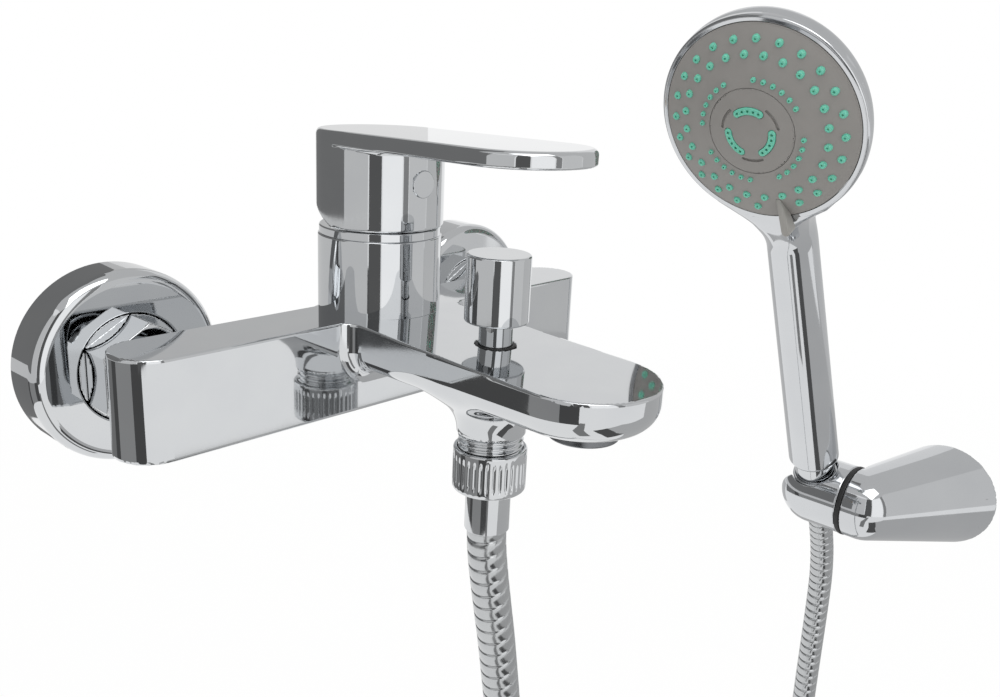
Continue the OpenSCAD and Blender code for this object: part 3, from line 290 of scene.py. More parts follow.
def hose_tube(first, last):
    """The wound tube between two seams."""
    runs, depths = [], []
    for band in range(first, last):
        for share, depth in BAND_RINGS:
            runs.append((band + share) * band_pitch)
            depths.append(depth)
    runs.append(last * band_pitch)
    depths.append(BAND_RINGS[0][1])
    runs, depths = np.array(runs), np.array(depths)
    angle = np.arange(HOSE_SIDES) * math.tau / HOSE_SIDES
    centre = on_hose(np.clip(runs, 0, hose_length))
    ahead = on_hose(np.clip(runs + 2, 0, hose_length)) - on_hose(np.clip(runs - 2, 0, hose_length))
    ahead /= np.linalg.norm(ahead, axis=1)[:, None]
    across = np.cross(ahead, np.array([0.0, 1.0, 0.0]))
    across /= np.linalg.norm(across, axis=1)[:, None]
    outward = np.cross(across, ahead)
    radius = (HOSE_R - depths)[:, None, None]
    ring = across[:, None] * np.cos(angle)[None, :, None] + outward[:, None] * np.sin(angle)[None, :, None]
    slant = SLANT * np.cos(angle)[None, :, None] * ahead[:, None]
    points = (centre[:, None] + radius * ring + slant).reshape(-1, 3)
    faces = []
    for low in range(0, (len(runs) - 1) * HOSE_SIDES, HOSE_SIDES):
        high = low + HOSE_SIDES
        for k in range(HOSE_SIDES):
            n = (k + 1) % HOSE_SIDES
            faces.append((low + k, high + k, high + n, low + n))
    faces.append(tuple(range(HOSE_SIDES)))
    faces.append(tuple(len(points) - 1 - k for k in range(HOSE_SIDES)))
    return points, faces, None


def hose_piece(name, first, last, node):
    """One length of the hose, from seam to seam."""
    thing = piece(name, hose_tube(first, last), hose_steel, node=node)
    return thing


RISER_FROM = round(np.interp(-450, HOSE_ROUTE[18:25, 2], hose_runs[18 * 8:25 * 8:8]) / band_pitch)
TOP_FROM = round(180 / 199 * BANDS)
hose_run = hose_piece("hose_run", 0, RISER_FROM, "hose_lower")
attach(hose_run, "fixed")
hose_riser = hose_piece("hose_riser", RISER_FROM, TOP_FROM, "hose_lower")
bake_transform(hose_riser)
hose_top = hose_piece("hose_top", TOP_FROM, BANDS, "hose_upper")
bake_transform(hose_top)

# %% [markdown]
# Turned pieces, such as the tower sleeve, the rosettes and the knob, are profiles spun round an axis. A
# Screw modifier would spin a curve, but its edges would need a bevel each. Here a profile is a list of
# radius, height and corner radius: the corners are rounded while it is traced, and each point keeps its
# exact normal, so that a long straight wall mirrors without a ripple.

# %% Turning helpers
def spin_corner(normal, angle):
    """Turn a two-part direction by an angle."""
    c, s = math.cos(angle), math.sin(angle)
    return np.array([c * normal[0] - s * normal[1], s * normal[0] + c * normal[1]])


def traced(outline, closed, steps=6):
    """Points and normals along an outline with rounded corners, the solid on its left."""
    found = []
    count = len(outline)
    for i, (r, z, corner) in enumerate(outline):
        here = np.array([r, z], float)
        before = here - np.array(outline[i - 1][:2], float)
        after = np.array(outline[(i + 1) % count][:2], float) - here
        if not closed and i == 0:
            before = after
        if not closed and i == count - 1:
            after = before
        room = 0.49 * min(np.linalg.norm(before), np.linalg.norm(after))
        before = before / np.linalg.norm(before)
        after = after / np.linalg.norm(after)
        normal = np.array([before[1], -before[0]])
        bend = math.atan2(before[0] * after[1] - before[1] * after[0], before @ after)
        if abs(bend) < 1e-6:
            found.append((here, normal))
            continue
        reach = min(max(corner, 0.08) * math.tan(abs(bend) / 2), room)
        radius = math.copysign(reach / math.tan(abs(bend) / 2), bend)
        centre = here - before * reach - normal * radius
        for k in range(steps + 1):
            facing = spin_corner(normal, bend * k / steps)
            found.append((centre + radius * facing, facing))
    return found


def turned(outline, sides=96, closed=True, ripple=None):
    """Spin an outline round its axis. A ripple changes the radius by angle and height."""
    points, normals, rows = [], [], []
    angles = np.arange(sides) * math.tau / sides
    for (r, z), (nr, nz) in traced(outline, closed):
        if r < 1e-6:
            rows.append([len(points)] * sides)
            points.append((0, 0, z))
            normals.append((0, 0, math.copysign(1, nz)))
            continue
        rows.append(range(len(points), len(points) + sides))
        for a in angles:
            grown = r + (ripple(a, r, z) if ripple else 0)
            points.append((grown * math.cos(a), grown * math.sin(a), z))
            normals.append((nr * math.cos(a), nr * math.sin(a), nz))
    faces = []
    for low, high in zip(rows, rows[1:] + (rows[:1] if closed else [])):
        for k in range(sides):
            n = (k + 1) % sides
            face = tuple(dict.fromkeys((low[k], low[n], high[n], high[k])))
            if len(face) > 2:
                faces.append(face)
    return np.array(points), faces, None if ripple else np.array(normals)


def frame_at(origin, along, side):
    """The matrix of a local frame: its z runs along one direction, and its x towards the other."""
    z = np.array(along, float) / np.linalg.norm(along)
    x = np.array(side, float) - z * (z @ np.array(side, float))
    x /= np.linalg.norm(x)
    place = np.eye(4)
    place[:3, 0], place[:3, 1], place[:3, 2], place[:3, 3] = x, np.cross(z, x), z, origin
    return place


def moved(part, place):
    """A part carried from its local frame into the row frame."""
    points, faces, normals = part
    turn = place[:3, :3]
    return points @ turn.T + place[:3, 3], faces, None if normals is None else normals @ turn.T


def joined(parts):
    """Several parts as one."""
    points, faces, normals, start = [], [], [], 0
    for part in parts:
        points.append(part[0])
        faces += [tuple(v + start for v in face) for face in part[1]]
        normals.append(part[2])
        start += len(part[0])
    return np.vstack(points), faces, None if any(n is None for n in normals) else np.vstack(normals)


# %% [markdown]
# The tower over the bar is a thin sleeve that drops over the cartridge neck, closed by a flat trim ring on
# which the lever's hub turns. The photograph shows both as plain polished cylinders with crisp edges, so
# each is one short profile. The sleeve reaches down to the slope of the spout's top, to leave no gap there.

# %% Tower sleeve and trim ring
TOWER_Y, TOWER_R, BAR_TOP, TOWER_TOP = -45.6, 20.65, 15.5, 40.5
DIVERTER_Y = -100.7
UP, X_AXIS = (0, 0, 1), (1, 0, 0)
tower = frame_at((0, TOWER_Y, 0), UP, X_AXIS)
diverter = frame_at((0, DIVERTER_Y, 0), UP, X_AXIS)

sleeve = turned([(19.5, 15.2, 0.1), (TOWER_R, 15.2, 0.2), (TOWER_R, TOWER_TOP, 0.5),
                 (19.5, TOWER_TOP, 0.1)], 128)
piece("tower_sleeve_turned", moved(sleeve, tower), chrome_brass, "fixed", "tower_sleeve")
ring = turned([(14.5, TOWER_TOP, 0.1), (20.25, TOWER_TOP, 0.2), (20.25, 43.3, 0.5), (14.5, 43.3, 0.2)], 128)
piece("trim_ring_turned", moved(ring, tower), chrome_brass, "fixed", "trim_ring")

# %% [markdown]
# Each wall connection has a flat rosette with a rounded rim and a well for the nut, a brass union with pipe
# thread, a hexagon nut, and a chromed tail with a collar that enters the bar. The threads are cut as a
# ripple that climbs one pitch in each turn: half-inch pipe thread has 14 turns to the inch.

# %% Rosettes, tails and unions
INLET_X = 75.0
THREAD_PITCH, THREAD_DEPTH = 25.4 / 14, 1.0
rosette_profile = [(29.8, 0, 0.1), (31, 0, 0.2), (31, 16, 4.0), (17.6, 16, 0.6), (17.6, 8, 0.4),
                   (13.4, 8, 0.2), (13.4, 2.6, 0.2), (15.3, 2.6, 0.2), (15.3, 6.6, 0.4), (19, 6.6, 0.3),
                   (19, 12, 0.4), (29.8, 12, 0.4)]
tail_profile = [(6, 22, 0.2), (12.2, 22, 0.2), (12.2, 24.5, 0.2), (8.5, 24.5, 0.3), (8.5, 31.5, 0.4),
                (11.3, 31.5, 0.9), (11.3, 34.98, 0.3), (8.5, 34.98, 0.1), (8.5, 50, 0.2), (6, 50, 0.2)]


def climbing_thread(angle, r, z):
    """Depth of a pipe thread, which climbs one pitch in each turn."""
    if r < 8:
        return 0.0
    return THREAD_DEPTH * (0.5 * math.cos(math.tau * z / THREAD_PITCH - angle) - 0.5)


def threaded_wall(radius, low, high):
    """Profile points close enough together to carry a thread."""
    heights = np.arange(low + 0.3, high - 0.2, THREAD_PITCH / 6)
    return [(radius, low, 0.1)] + [(radius, z, 0.1) for z in heights] + [(radius, high, 0.1)]


union_profile = ([(6, -14, 0.3)] + threaded_wall(10.4775, -14, 4) + threaded_wall(13.22, 4, 20)
                 + [(6, 20, 0.3)])
inlets = {side_name: frame_at((x, 0, 0), (0, -1, 0), X_AXIS)
          for side_name, x in (("left", -INLET_X), ("right", INLET_X))}
for side_name, inlet in inlets.items():
    piece("rosette_pressed_" + side_name, moved(turned(rosette_profile, 128), inlet), chrome_brass,
          "fixed", "rosette_" + side_name)
    piece("inlet_tail_turned_" + side_name, moved(turned(tail_profile, 80), inlet), chrome_brass, "fixed",
          "inlet_tail_" + side_name)
    union = turned(union_profile, 72, ripple=climbing_thread)
    piece("wall_union_threaded_" + side_name, moved(union, inlet), turned_brass, "fixed",
          "union_" + side_name)

# %% [markdown]
# The diverter is a plain knob on a stem that rises out of the spout through a rubber seal, of which only a
# thin dark line shows. Under the spout hangs the outlet's threaded nipple, and on it the hose nut, a ring
# of fine flutes for wet fingers, with the ferrule that grips the hose. The flutes are a ripple again, which
# fades out at the nut's plain rims.

# %% Diverter knob, outlet nipple, hose nut and ferrule
knob = turned([(0, 21.49, 0), (10, 21.49, 0.7), (10, 42.49, 0.8), (0, 42.49, 0)], 96, closed=False)
piece("diverter_knob_turned", moved(knob, diverter), chrome_brass, "diverter", "diverter_knob")
stem = turned([(0, -7.2, 0), (5.25, -7.2, 0.2), (5.25, 29, 0.3), (0, 29, 0)], 64, closed=False)
piece("diverter_stem_turned", moved(stem, diverter), chrome_brass, "diverter", "diverter_stem")

seal = turned([(5.3, 12.2, 0.2), (6.4, 12.2, 0.2), (6.4, 14.2, 0.4), (5.3, 14.2, 0.3)], 64)
piece("stem_seal_moulded", moved(seal, diverter), rubber, "fixed", "stem_seal_ring")

nipple_profile = ([(6.5, -26.9, 0.2)] + threaded_wall(10.4775, -26.9, -14.52)
                  + [(8.55, -14.5, 0.1), (8.55, -9.1, 0.2), (6.5, -9.1, 0.2)])
piece("outlet_nipple_threaded", moved(turned(nipple_profile, 72, ripple=climbing_thread), diverter),
      chrome_brass, "fixed", "outlet_nipple")

NUT_TOP, NUT_FOOT, NUT_R, FLUTES = -19.3, -33.5, 11.8, 36


def fluted(angle, r, z):
    """Depth of the nut's finger flutes, which fade out near its rims."""
    if r < NUT_R - 0.3:
        return 0.0
    fade = min(1.0, max(0.0, min(z - NUT_FOOT - 2.2, NUT_TOP - 2.2 - z) / 1.6))
    return -0.55 * fade * max(0.0, math.cos(FLUTES * angle)) ** 2


nut_wall = [(NUT_R, z, 0.1) for z in np.linspace(NUT_FOOT + 1.8, NUT_TOP - 1.8, 15)]
nut_profile = ([(7.36, NUT_FOOT, 0.2), (NUT_R, NUT_FOOT, 1.0)] + nut_wall
               + [(NUT_R, NUT_TOP, 0.8), (10.56, NUT_TOP, 0.3), (10.56, -30.9, 0.2), (7.36, -30.9, 0.2)])
piece("hose_nut_fluted", moved(turned(nut_profile, FLUTES * 8, ripple=fluted), diverter), chrome_brass,
      "fixed", "hose_nut")
ferrule = turned([(6.6, -48, 0.2), (7.3, -48, 0.4), (7.3, -30.9, 0.1), (9.2, -30.9, 0.2), (9.2, -28.9, 0.2),
                  (3.8, -28.9, 0.2), (3.8, -35, 0.2), (6.6, -35, 0.2)], 64)
piece("hose_ferrule_lower_turned", moved(ferrule, diverter), chrome_brass, "fixed", "hose_ferrule_lower")

# %% [markdown]
# Castings such as the mixer body have no straight recipe: flat faces run into soft hollows and rounded
# edges. Sculpting or a subdivision cage could give that, but the flats must stay true mirrors. So each
# casting is written as a field, the signed distance to its surface, from plain forms that are joined with
# a fillet or cut with a rounded edge. A grid finds the surface, each point is moved onto it exactly, and
# the field's own slope gives the normal there.

# %% Casting helpers
def box_of(a, b):
    """Distance to the edge where two half spaces meet, from their two distances."""
    return np.minimum(np.maximum(a, b), 0) + np.hypot(np.maximum(a, 0), np.maximum(b, 0))


def keep_both(a, b, edge):
    """What lies in both forms, with the edge between them rounded."""
    return np.minimum(np.maximum(a, b), -edge) + np.hypot(np.maximum(a + edge, 0), np.maximum(b + edge, 0))


def fuse(a, b, fillet):
    """Both forms together, with a fillet in the corner between them."""
    corner = np.hypot(np.maximum(fillet - a, 0), np.maximum(fillet - b, 0))
    return np.maximum(np.minimum(a, b), fillet) - corner


def bore(field, hole, edge=0.3):
    """A form with a hole in it, its rim eased."""
    return keep_both(field, -hole, edge)


def slope(field, points, step=0.01):
    """The field's direction of fastest rise at each point."""
    rise = np.empty_like(points)
    for k in range(3):
        offset = np.zeros(3)
        offset[k] = step
        rise[:, k] = (field(*(points + offset).T) - field(*(points - offset).T)) / (2 * step)
    return rise


def skin(field, low, high, cell):
    """The surface where a field is zero: one point in each cell that it crosses, set on it exactly."""
    axes = [np.arange(a - 2 * cell, b + 3 * cell, cell) for a, b in zip(low, high)]
    depth = np.asarray(field(*np.meshgrid(*axes, indexing="ij", sparse=True)))
    inside = depth < 0
    corners = list(product((0, 1), repeat=3))
    size = [len(a) - 1 for a in axes]
    count = sum(inside[tuple(slice(c, c + n) for c, n in zip(corner, size))].astype(np.int8)
                for corner in corners)
    mixed = (count > 0) & (count < 8)
    cells = np.argwhere(mixed)
    number = np.full(mixed.shape, -1)
    number[mixed] = np.arange(len(cells))
    values = np.stack([depth[tuple((cells + corner).T)] for corner in corners], 1)
    total, hits = np.zeros((len(cells), 3)), np.zeros(len(cells))
    for i, j in product(range(8), repeat=2):
        start, way = np.array(corners[i]), np.array(corners[j]) - np.array(corners[i])
        if way.min() < 0 or way.sum() != 1:
            continue
        crossed = (values[:, i] < 0) != (values[:, j] < 0)
        share = values[crossed, i] / (values[crossed, i] - values[crossed, j])
        total[crossed] += start + share[:, None] * way
        hits += crossed
    points = np.array([a[0] for a in axes]) + (cells + total / hits[:, None]) * cell
    for _ in range(4):
        rise = slope(field, points)
        step = np.clip(field(*points.T), -0.5 * cell, 0.5 * cell) / np.maximum((rise ** 2).sum(1), 0.2)
        points = points - step[:, None] * rise
    rise = slope(field, points)
    normals = rise / np.maximum(np.linalg.norm(rise, axis=1), 1e-6)[:, None]
    faces = []
    for k in range(3):
        order = (k, (k + 1) % 3, (k + 2) % 3)
        grid, names = np.transpose(inside, order), np.transpose(number, order)
        before, after = grid[:-1, 1:-1, 1:-1], grid[1:, 1:-1, 1:-1]
        i, j, m = np.nonzero(before != after)
        quads = np.stack([names[i, j, m], names[i, j + 1, m], names[i, j + 1, m + 1], names[i, j, m + 1]], 1)
        turned_in = ~before[i, j, m]
        quads[turned_in] = quads[turned_in][:, ::-1]
        faces += quads.tolist()
    return points, faces, normals


# %% [markdown]
# The mixer body is one brass casting: a bar with half-round ends, and a flat spout with a round nose that
# leaves it through two narrow hollow corners. The spout's lower edge is full and round, its top slopes
# down a little to let water run off, and under it a trumpet flares out to the hose outlet. The bar and
# spout are joined as if they had no top, and the top is then cut over both, so that it stays flat.

# %% Mixer body
BAR_Y, BAR_R, BAR_END, BAR_FLOOR, BAR_FRONT = -46.6, 11.6, 85.4, -15.5, -58.2
SPOUT_R, TIP_Y, SPOUT_FLOOR, SPOUT_ROUND = 22.9, -135.6, -1.0, 8.0
SPOUT_SLOPE = math.radians(1.9)
CORNER_FILLET, CRISP = 5.0, 0.6
TRUMPET_R, TRUMPET_FOOT, TRUMPET_FLARE = 10.98, -14.5, 13.5
AERATOR_Y = -137.1
NECK_R, NECK_FROM, NECK_TOP = 19.38, 10.0, 40.4
OPEN_UP, OPEN_DOWN = 60.0, -60.0
# Place, radius, floor, top and eased rim of the cartridge's chamber, the stem's bore, the seal's seat, the
# valve's chamber and the aerator's seat.
UPRIGHT_HOLES = ((TOWER_Y, 17.6, 11.0, OPEN_UP, 0.3), (DIVERTER_Y, 5.3, 0.0, OPEN_UP, 0.3),
                 (DIVERTER_Y, 6.45, 12.1, OPEN_UP, 0.15), (DIVERTER_Y, 8.6, OPEN_DOWN, 5.0, 0.3),
                 (AERATOR_Y, 10.52, OPEN_DOWN, 5.0, 0.3))


def upright_rod(x, y, z, at_y, radius, low, high):
    """Distance to an upright rod between two heights."""
    return box_of(np.hypot(x, y - at_y) - radius, np.maximum(low - z, z - high))


def body_field(x, y, z):
    """Signed distance to the mixer body."""
    bar = keep_both(np.hypot(np.maximum(np.abs(x) - BAR_END, 0), y - BAR_Y) - BAR_R, BAR_FLOOR - z, CRISP)
    plan = np.maximum(np.hypot(x, np.maximum(TIP_Y - y, 0)) - SPOUT_R, y - BAR_Y)
    spout = keep_both(plan, SPOUT_FLOOR - z, SPOUT_ROUND)
    casting = fuse(bar, spout, CORNER_FILLET)
    boss = keep_both(np.hypot(x, y - TOWER_Y) - TOWER_R, 2.5 - z, 1.5)
    casting = fuse(casting, boss, 2.5)
    trumpet = keep_both(np.hypot(x, y - DIVERTER_Y) - TRUMPET_R, TRUMPET_FOOT - z, 0.5)
    casting = fuse(casting, box_of(trumpet, z), TRUMPET_FLARE)
    slope_down = (z - BAR_TOP) * math.cos(SPOUT_SLOPE) + (BAR_FRONT - y) * math.sin(SPOUT_SLOPE)
    top = np.maximum(z - BAR_TOP, slope_down)
    casting = keep_both(casting, top, CRISP)
    casting = np.minimum(casting, upright_rod(x, y, z, TOWER_Y, NECK_R, NECK_FROM, NECK_TOP))
    for at_y, radius, low, high, edge in UPRIGHT_HOLES:
        casting = bore(casting, upright_rod(x, y, z, at_y, radius, low, high), edge)
    tail_holes = box_of(np.hypot(np.abs(x) - INLET_X, z) - 8.52, -50 - y)
    return bore(casting, tail_holes)


body = skin(body_field, (-97, -158.5, -15.5), (97, -24.9, 40.5), 0.8)
piece("mixer_body_cast", body, chrome_brass, "fixed", "mixer_body")

# %% [markdown]
# The lever is a hub with a flat plate that reaches forward over the spout, cast in one piece. The plate's
# plan is two half circles and straight sides, the same width as the hub. Behind, the hub's foot is cut on
# a slant, which is the room that it needs to tip back when the lever is lifted.

# %% Lever
HUB_R, HUB_FOOT, PLATE_Z, PLATE_T = 21.1, 43.6, 69.4, 5.0
LEVER_TIP_Y, LEVER_RISE = -108.9, math.tan(math.radians(0.8))
PIVOT_Z, LIFT = 42.0, math.radians(25)
PLUG_Z, PLUG_R = 58.8, 4.2
UNDER_FILLET = 2.0


def lever_field(x, y, z):
    """Signed distance to the lever casting."""
    back = y - TOWER_Y
    plan = np.hypot(x, np.maximum(np.maximum(LEVER_TIP_Y - y, back), 0)) - HUB_R
    under = PLATE_Z - (z + back * LEVER_RISE)
    plate = keep_both(plan, under, 0.7)
    hub = np.hypot(x, back) - HUB_R
    fillet = UNDER_FILLET * np.clip((-back - 6) / 10, 0.01, 1)
    lever = fuse(plate, hub, fillet)
    lever = keep_both(lever, z + back * LEVER_RISE - PLATE_Z - PLATE_T, 2.0)
    foot = np.maximum(HUB_FOOT - z, 1.6 - ((z - PIVOT_Z) * math.cos(LIFT) - back * math.sin(LIFT)))
    lever = keep_both(lever, foot, 0.8)
    lever = bore(lever, box_of(np.hypot(x, back) - 16.5, z - 55.8))
    return bore(lever, box_of(np.hypot(x, z - PLUG_Z) - PLUG_R - 0.03, back + HUB_R - 4.0), 0.15)


lever = skin(lever_field, (-HUB_R, -130, HUB_FOOT), (HUB_R, -24.5, 75.4), 0.5)
piece("lever_cast", lever, chrome_brass, "lever", "lever_handle")
plug_frame = frame_at((0, TOWER_Y, PLUG_Z), (0, -1, 0), X_AXIS)
plug = turned([(0, 17.1, 0), (4.2, 17.1, 0.2), (4.2, 20.2, 0.1), (4.45, 20.2, 0.1), (4.45, 21.35, 0.4),
               (0, 21.35, 0)], 64, closed=False)
piece("indicator_plug_turned", moved(plug, plug_frame), chrome_brass, "lever", "indicator_plug")

# %% [markdown]
# The union nuts are forged hexagons with their corners turned off at 30 degrees on the outer face, and a
# round skirt that fills the rosette's well. A bevelled six-sided cylinder would do for a distant view. The
# field gives the curved line where the turned chamfer meets each flat, which makes a nut look like a nut.

# %% Union nuts
NUT_FLATS, NUT_FROM, SKIRT_TO, NUT_TO = 30.0, 8.3, 15.8, 28.5
COS_30 = math.cos(math.radians(30))


def hexagon_nut(x, y, z):
    """Signed distance to a union nut whose axis is z, measured from the wall."""
    leaning = np.maximum(np.abs(0.5 * x + COS_30 * y), np.abs(0.5 * x - COS_30 * y))
    flats = np.maximum(np.abs(x), leaning)
    nut = flats - NUT_FLATS / 2
    radial = np.hypot(x, y)
    cone = (radial - 16.2) * 0.5 + (z - NUT_TO) * COS_30
    nut = np.minimum(keep_both(nut, cone, 0.3), box_of(radial - 17.3, z - SKIRT_TO))
    nut = keep_both(nut, np.maximum(NUT_FROM - z, z - NUT_TO), 0.4)
    nut = bore(nut, box_of(radial - 13.27, z - 24.5))
    return bore(nut, radial - 8.8, 0.5)


nut_part = skin(hexagon_nut, (-17.4, -17.4, NUT_FROM), (17.4, 17.4, NUT_TO), 0.5)
for side_name, inlet in inlets.items():
    piece("union_nut_forged_" + side_name, moved(nut_part, inlet), chrome_brass, "fixed",
          "union_nut_" + side_name)

# %% [markdown]
# The aerator screws up into the spout's nose. It is a short plated ring with a dark insert, whose small
# holes mix air into the water. The ring is turned here, its colour painted darker as a dark reflection,
# and the CAD insert with its holes stays.

# %% Aerator
aerator_frame = frame_at((0, AERATOR_Y, 0), UP, X_AXIS)
aerator = turned([(9.0, -5, 0.4), (10.5, -5, 0.5), (10.5, 3.6, 0.2), (9.0, 3.6, 0.2)], 80)
piece("aerator_ring_turned", moved(aerator, aerator_frame), chrome_painted_dark, "fixed", "aerator_housing")

# %% [markdown]
# The hand shower is a plated ABS moulding: a round handle that tapers upwards, swells forward at its neck
# and flares with a wide hollow into the disc of the head, whose back is a flattened half ball. The handle
# is an oval that grows wider, deeper and squarer with height, which gives the flare and the flat patch under
# the spray face exactly. One field joins it to the head, and the front is then cut flat.

# %% Hand shower shell
SWIVEL = np.array([288.0, -85.0, -127.0])
TILT, TWIST, LEAN = math.radians(25), math.radians(5), math.radians(2.5)
HANDLE_UP = np.array([-math.sin(TILT), 0, math.cos(TILT)])
CRADLE_X = np.array([math.cos(TILT), 0, math.sin(TILT)])
HANDSET_X = math.cos(TWIST) * CRADLE_X + math.sin(TWIST) * np.array([0, 1.0, 0])
in_cradle = frame_at(SWIVEL, HANDLE_UP, CRADLE_X)
in_handset = frame_at(SWIVEL, HANDLE_UP, HANDSET_X)
HANDLE_FOOT, HEAD_AT, HANDLE_R, HANDLE_TOP_R = 24.0, 232.0, 13.1, 11.8
NECK_START, NECK_END, NECK_FLARE, NECK_CAP = 171.6, 193.0, 25.0, 22.0
LEAN_START, LEAN_END, NECK_FRONT = 162.0, 189.0, 21.9
FACE_OUT, FACE_R, RIM_R, RIM_DEPTH, HEAD_DEPTH, BACK_SKEW = 19.0, 43.3, 46.2, 3.0, 24.0, 0.42


def face_depths(x, y, z):
    """Distance along the face's axis from the handle's axis, and the place up the face."""
    front = -x * math.cos(LEAN) + (z - HEAD_AT) * math.sin(LEAN)
    return front, x * math.sin(LEAN) + (z - HEAD_AT) * math.cos(LEAN)


def head_field(front, upward, y):
    """Distance to the head: a short round rim, and behind it a flattened half ball that leans up."""
    behind = np.maximum(FACE_OUT - RIM_DEPTH - front, 0)
    deep = HEAD_DEPTH - RIM_DEPTH
    radius = np.hypot(upward - BACK_SKEW * behind * (1 - behind / (2 * deep)), y)
    reach = np.hypot(radius / RIM_R, behind / deep)
    steepness = np.hypot(radius / RIM_R ** 2, behind / deep ** 2)
    return reach * (reach - 1) / np.maximum(steepness, 1e-6)


def handle_field(x, y, z):
    """Distance to the handle: round, then wider, deeper and squarer in front, and capped inside the head."""
    taper = (HANDLE_R - HANDLE_TOP_R) / (NECK_START - HANDLE_FOOT)
    half = HANDLE_R - taper * (np.clip(z, HANDLE_FOOT, NECK_START) - HANDLE_FOOT)
    flare = np.clip(z, NECK_START, NECK_END) - NECK_START
    wide = half + NECK_FLARE - np.sqrt(NECK_FLARE ** 2 - flare ** 2)
    share = np.clip((z - LEAN_START) / (LEAN_END - LEAN_START), 0, 1)
    share = share * share * (3 - 2 * share)
    lean = (NECK_FRONT - HANDLE_TOP_R) / 2 * share
    past_end = np.maximum(z - NECK_END, 0) / NECK_CAP
    square = np.where(x < -lean, 2 + share, 2.0)
    across, deep = np.abs(y) / wide, np.abs(x + lean) / (half + lean)
    oval = (across ** square + deep ** square) ** (1 / square)
    return (np.hypot(oval, past_end) - 1) * half


def shell_field(x, y, z):
    """Signed distance to the hand shower's shell, in the handset's own frame."""
    front, upward = face_depths(x, y, z)
    radius = np.hypot(upward, y)
    handle = keep_both(handle_field(x, y, z), HANDLE_FOOT - z, 2.6)
    shell = fuse(handle, head_field(front, upward, y), 6.0)
    shell = keep_both(shell, front - FACE_OUT + 0.05, 3.0)
    shell = bore(shell, box_of(radius - 44.95, FACE_OUT - 5.2 - front), 0.2)
    shell = bore(shell, box_of(radius - 40.0, FACE_OUT - 10 - front), 0.2)
    return bore(shell, box_of(np.hypot(x, y) - 10.5, z - HANDLE_FOOT - 14))


shell = skin(shell_field, (-22, -47, HANDLE_FOOT), (16, 47, HEAD_AT + 47), 0.8)
piece("handset_shell_moulded", moved(shell, in_handset), chrome_abs, "shower", "handset_shell")

# %% [markdown]
# Round the spray face runs the shell's lip. Its crisp inner edge is what the eye follows, and a grid would
# leave that edge ragged, so the lip is turned as a ring of its own and set into the shell.
# The spray face is a shallow painted dome with two full rings of nozzles, four short arcs of smaller ones
# and a separate centre disc. Each nozzle is a soft silicone cone with a hole, which is rubbed with a thumb
# to free it of scale. The dome is turned, and one nozzle profile is set out at every place of the pattern.

# %% Lip, spray face and nozzles
FACE_AXIS = -math.cos(LEAN) * HANDSET_X + math.sin(LEAN) * HANDLE_UP
on_face = frame_at(SWIVEL + HEAD_AT * HANDLE_UP + FACE_OUT * FACE_AXIS, FACE_AXIS, HANDLE_UP)
DOME_H = 10.4
DOME_R = (FACE_R ** 2 + DOME_H ** 2) / (2 * DOME_H)
CENTRE_R = 0.44 * FACE_R
SELECTOR_REST = math.radians(10.5)

lip = turned([(43.55, -5.0, 0.2), (44.9, -5.0, 0.2), (44.9, -2.9, 0.1), (RIM_R + 0.04, -2.9, 0.1),
              (RIM_R + 0.04, 0.06, 2.6), (43.55, 0.06, 0.2)], 192)
piece("handset_lip_moulded", moved(lip, on_face), chrome_abs, "shower", "handset_shell")


def dome_height(radius):
    """Height of the dome over the rim's plane."""
    return math.sqrt(DOME_R ** 2 - radius ** 2) + DOME_H - DOME_R


GROOVE_TOP = dome_height(CENTRE_R)
dome_radii = np.linspace(FACE_R - 0.6, CENTRE_R + 0.6, 24)
face_profile = ([(FACE_R - 2, -5, 0.2), (FACE_R, -5, 0.2), (FACE_R, 0.3, 0.3)]
                + [(r, dome_height(r), 60.0) for r in dome_radii]
                + [(CENTRE_R, GROOVE_TOP, 0.3), (CENTRE_R, GROOVE_TOP - 0.5, 0.05),
                   (CENTRE_R - 0.9, GROOVE_TOP - 0.5, 0.1), (CENTRE_R - 0.9, 3.0, 0.1),
                   (CENTRE_R + 2, 3.0, 0.2)]
                + [(r, dome_height(r) - 2.2, 60.0) for r in np.linspace(CENTRE_R + 3, FACE_R - 4, 8)])
piece("spray_face_domed", moved(turned(face_profile, 160), on_face), face_paint, "selector", "spray_face")


def nozzle(radius, angle, width, hole):
    """One soft nozzle with its hole, standing on the dome."""
    base = dome_height(radius) - 1.0
    rise = [(0, 0.0, 0), (width, 0.0, 0.1), (width, 1.1, 0.3), (width * 0.84, 2.2, 0.7),
            (hole * 1.2, 2.2, 0.15), (hole, 1.5, 0.1), (0, 1.5, 0)]
    away = np.array([radius * math.cos(angle), radius * math.sin(angle), base])
    return moved(turned(rise, 20, closed=False), frame_at(away, UP, X_AXIS))


RING_NOZZLES, FIN_PLACE, ARC_STEP = 24, 12, math.radians(11)
ring_step = math.tau / RING_NOZZLES
arc_first = SELECTOR_REST + math.tau / 8 - 2.5 * ARC_STEP
nozzles = [nozzle(0.87 * FACE_R, SELECTOR_REST + i * ring_step, 1.7, 0.38)
           for i in range(RING_NOZZLES) if i != FIN_PLACE]
nozzles += [nozzle(0.735 * FACE_R, SELECTOR_REST + (i + 0.5) * ring_step, 1.7, 0.38)
            for i in range(RING_NOZZLES)]
nozzles += [nozzle(0.52 * FACE_R, arc_first + g * math.tau / 4 + i * ARC_STEP, 1.1, 0.3)
            for g, i in product(range(4), range(6))]
piece("nozzle_tips", moved(joined(nozzles), on_face), silicone, "selector", "nozzle_mat")

# %% [markdown]
# The centre disc has three open slots and three soft pads with five fine jets each. All of them are arcs
# with round ends, so one function measures the distance to an arc in plan, and the dome's own field gives
# the depth. The fin beside it is the thumb grip that turns the face from one spray to the next.

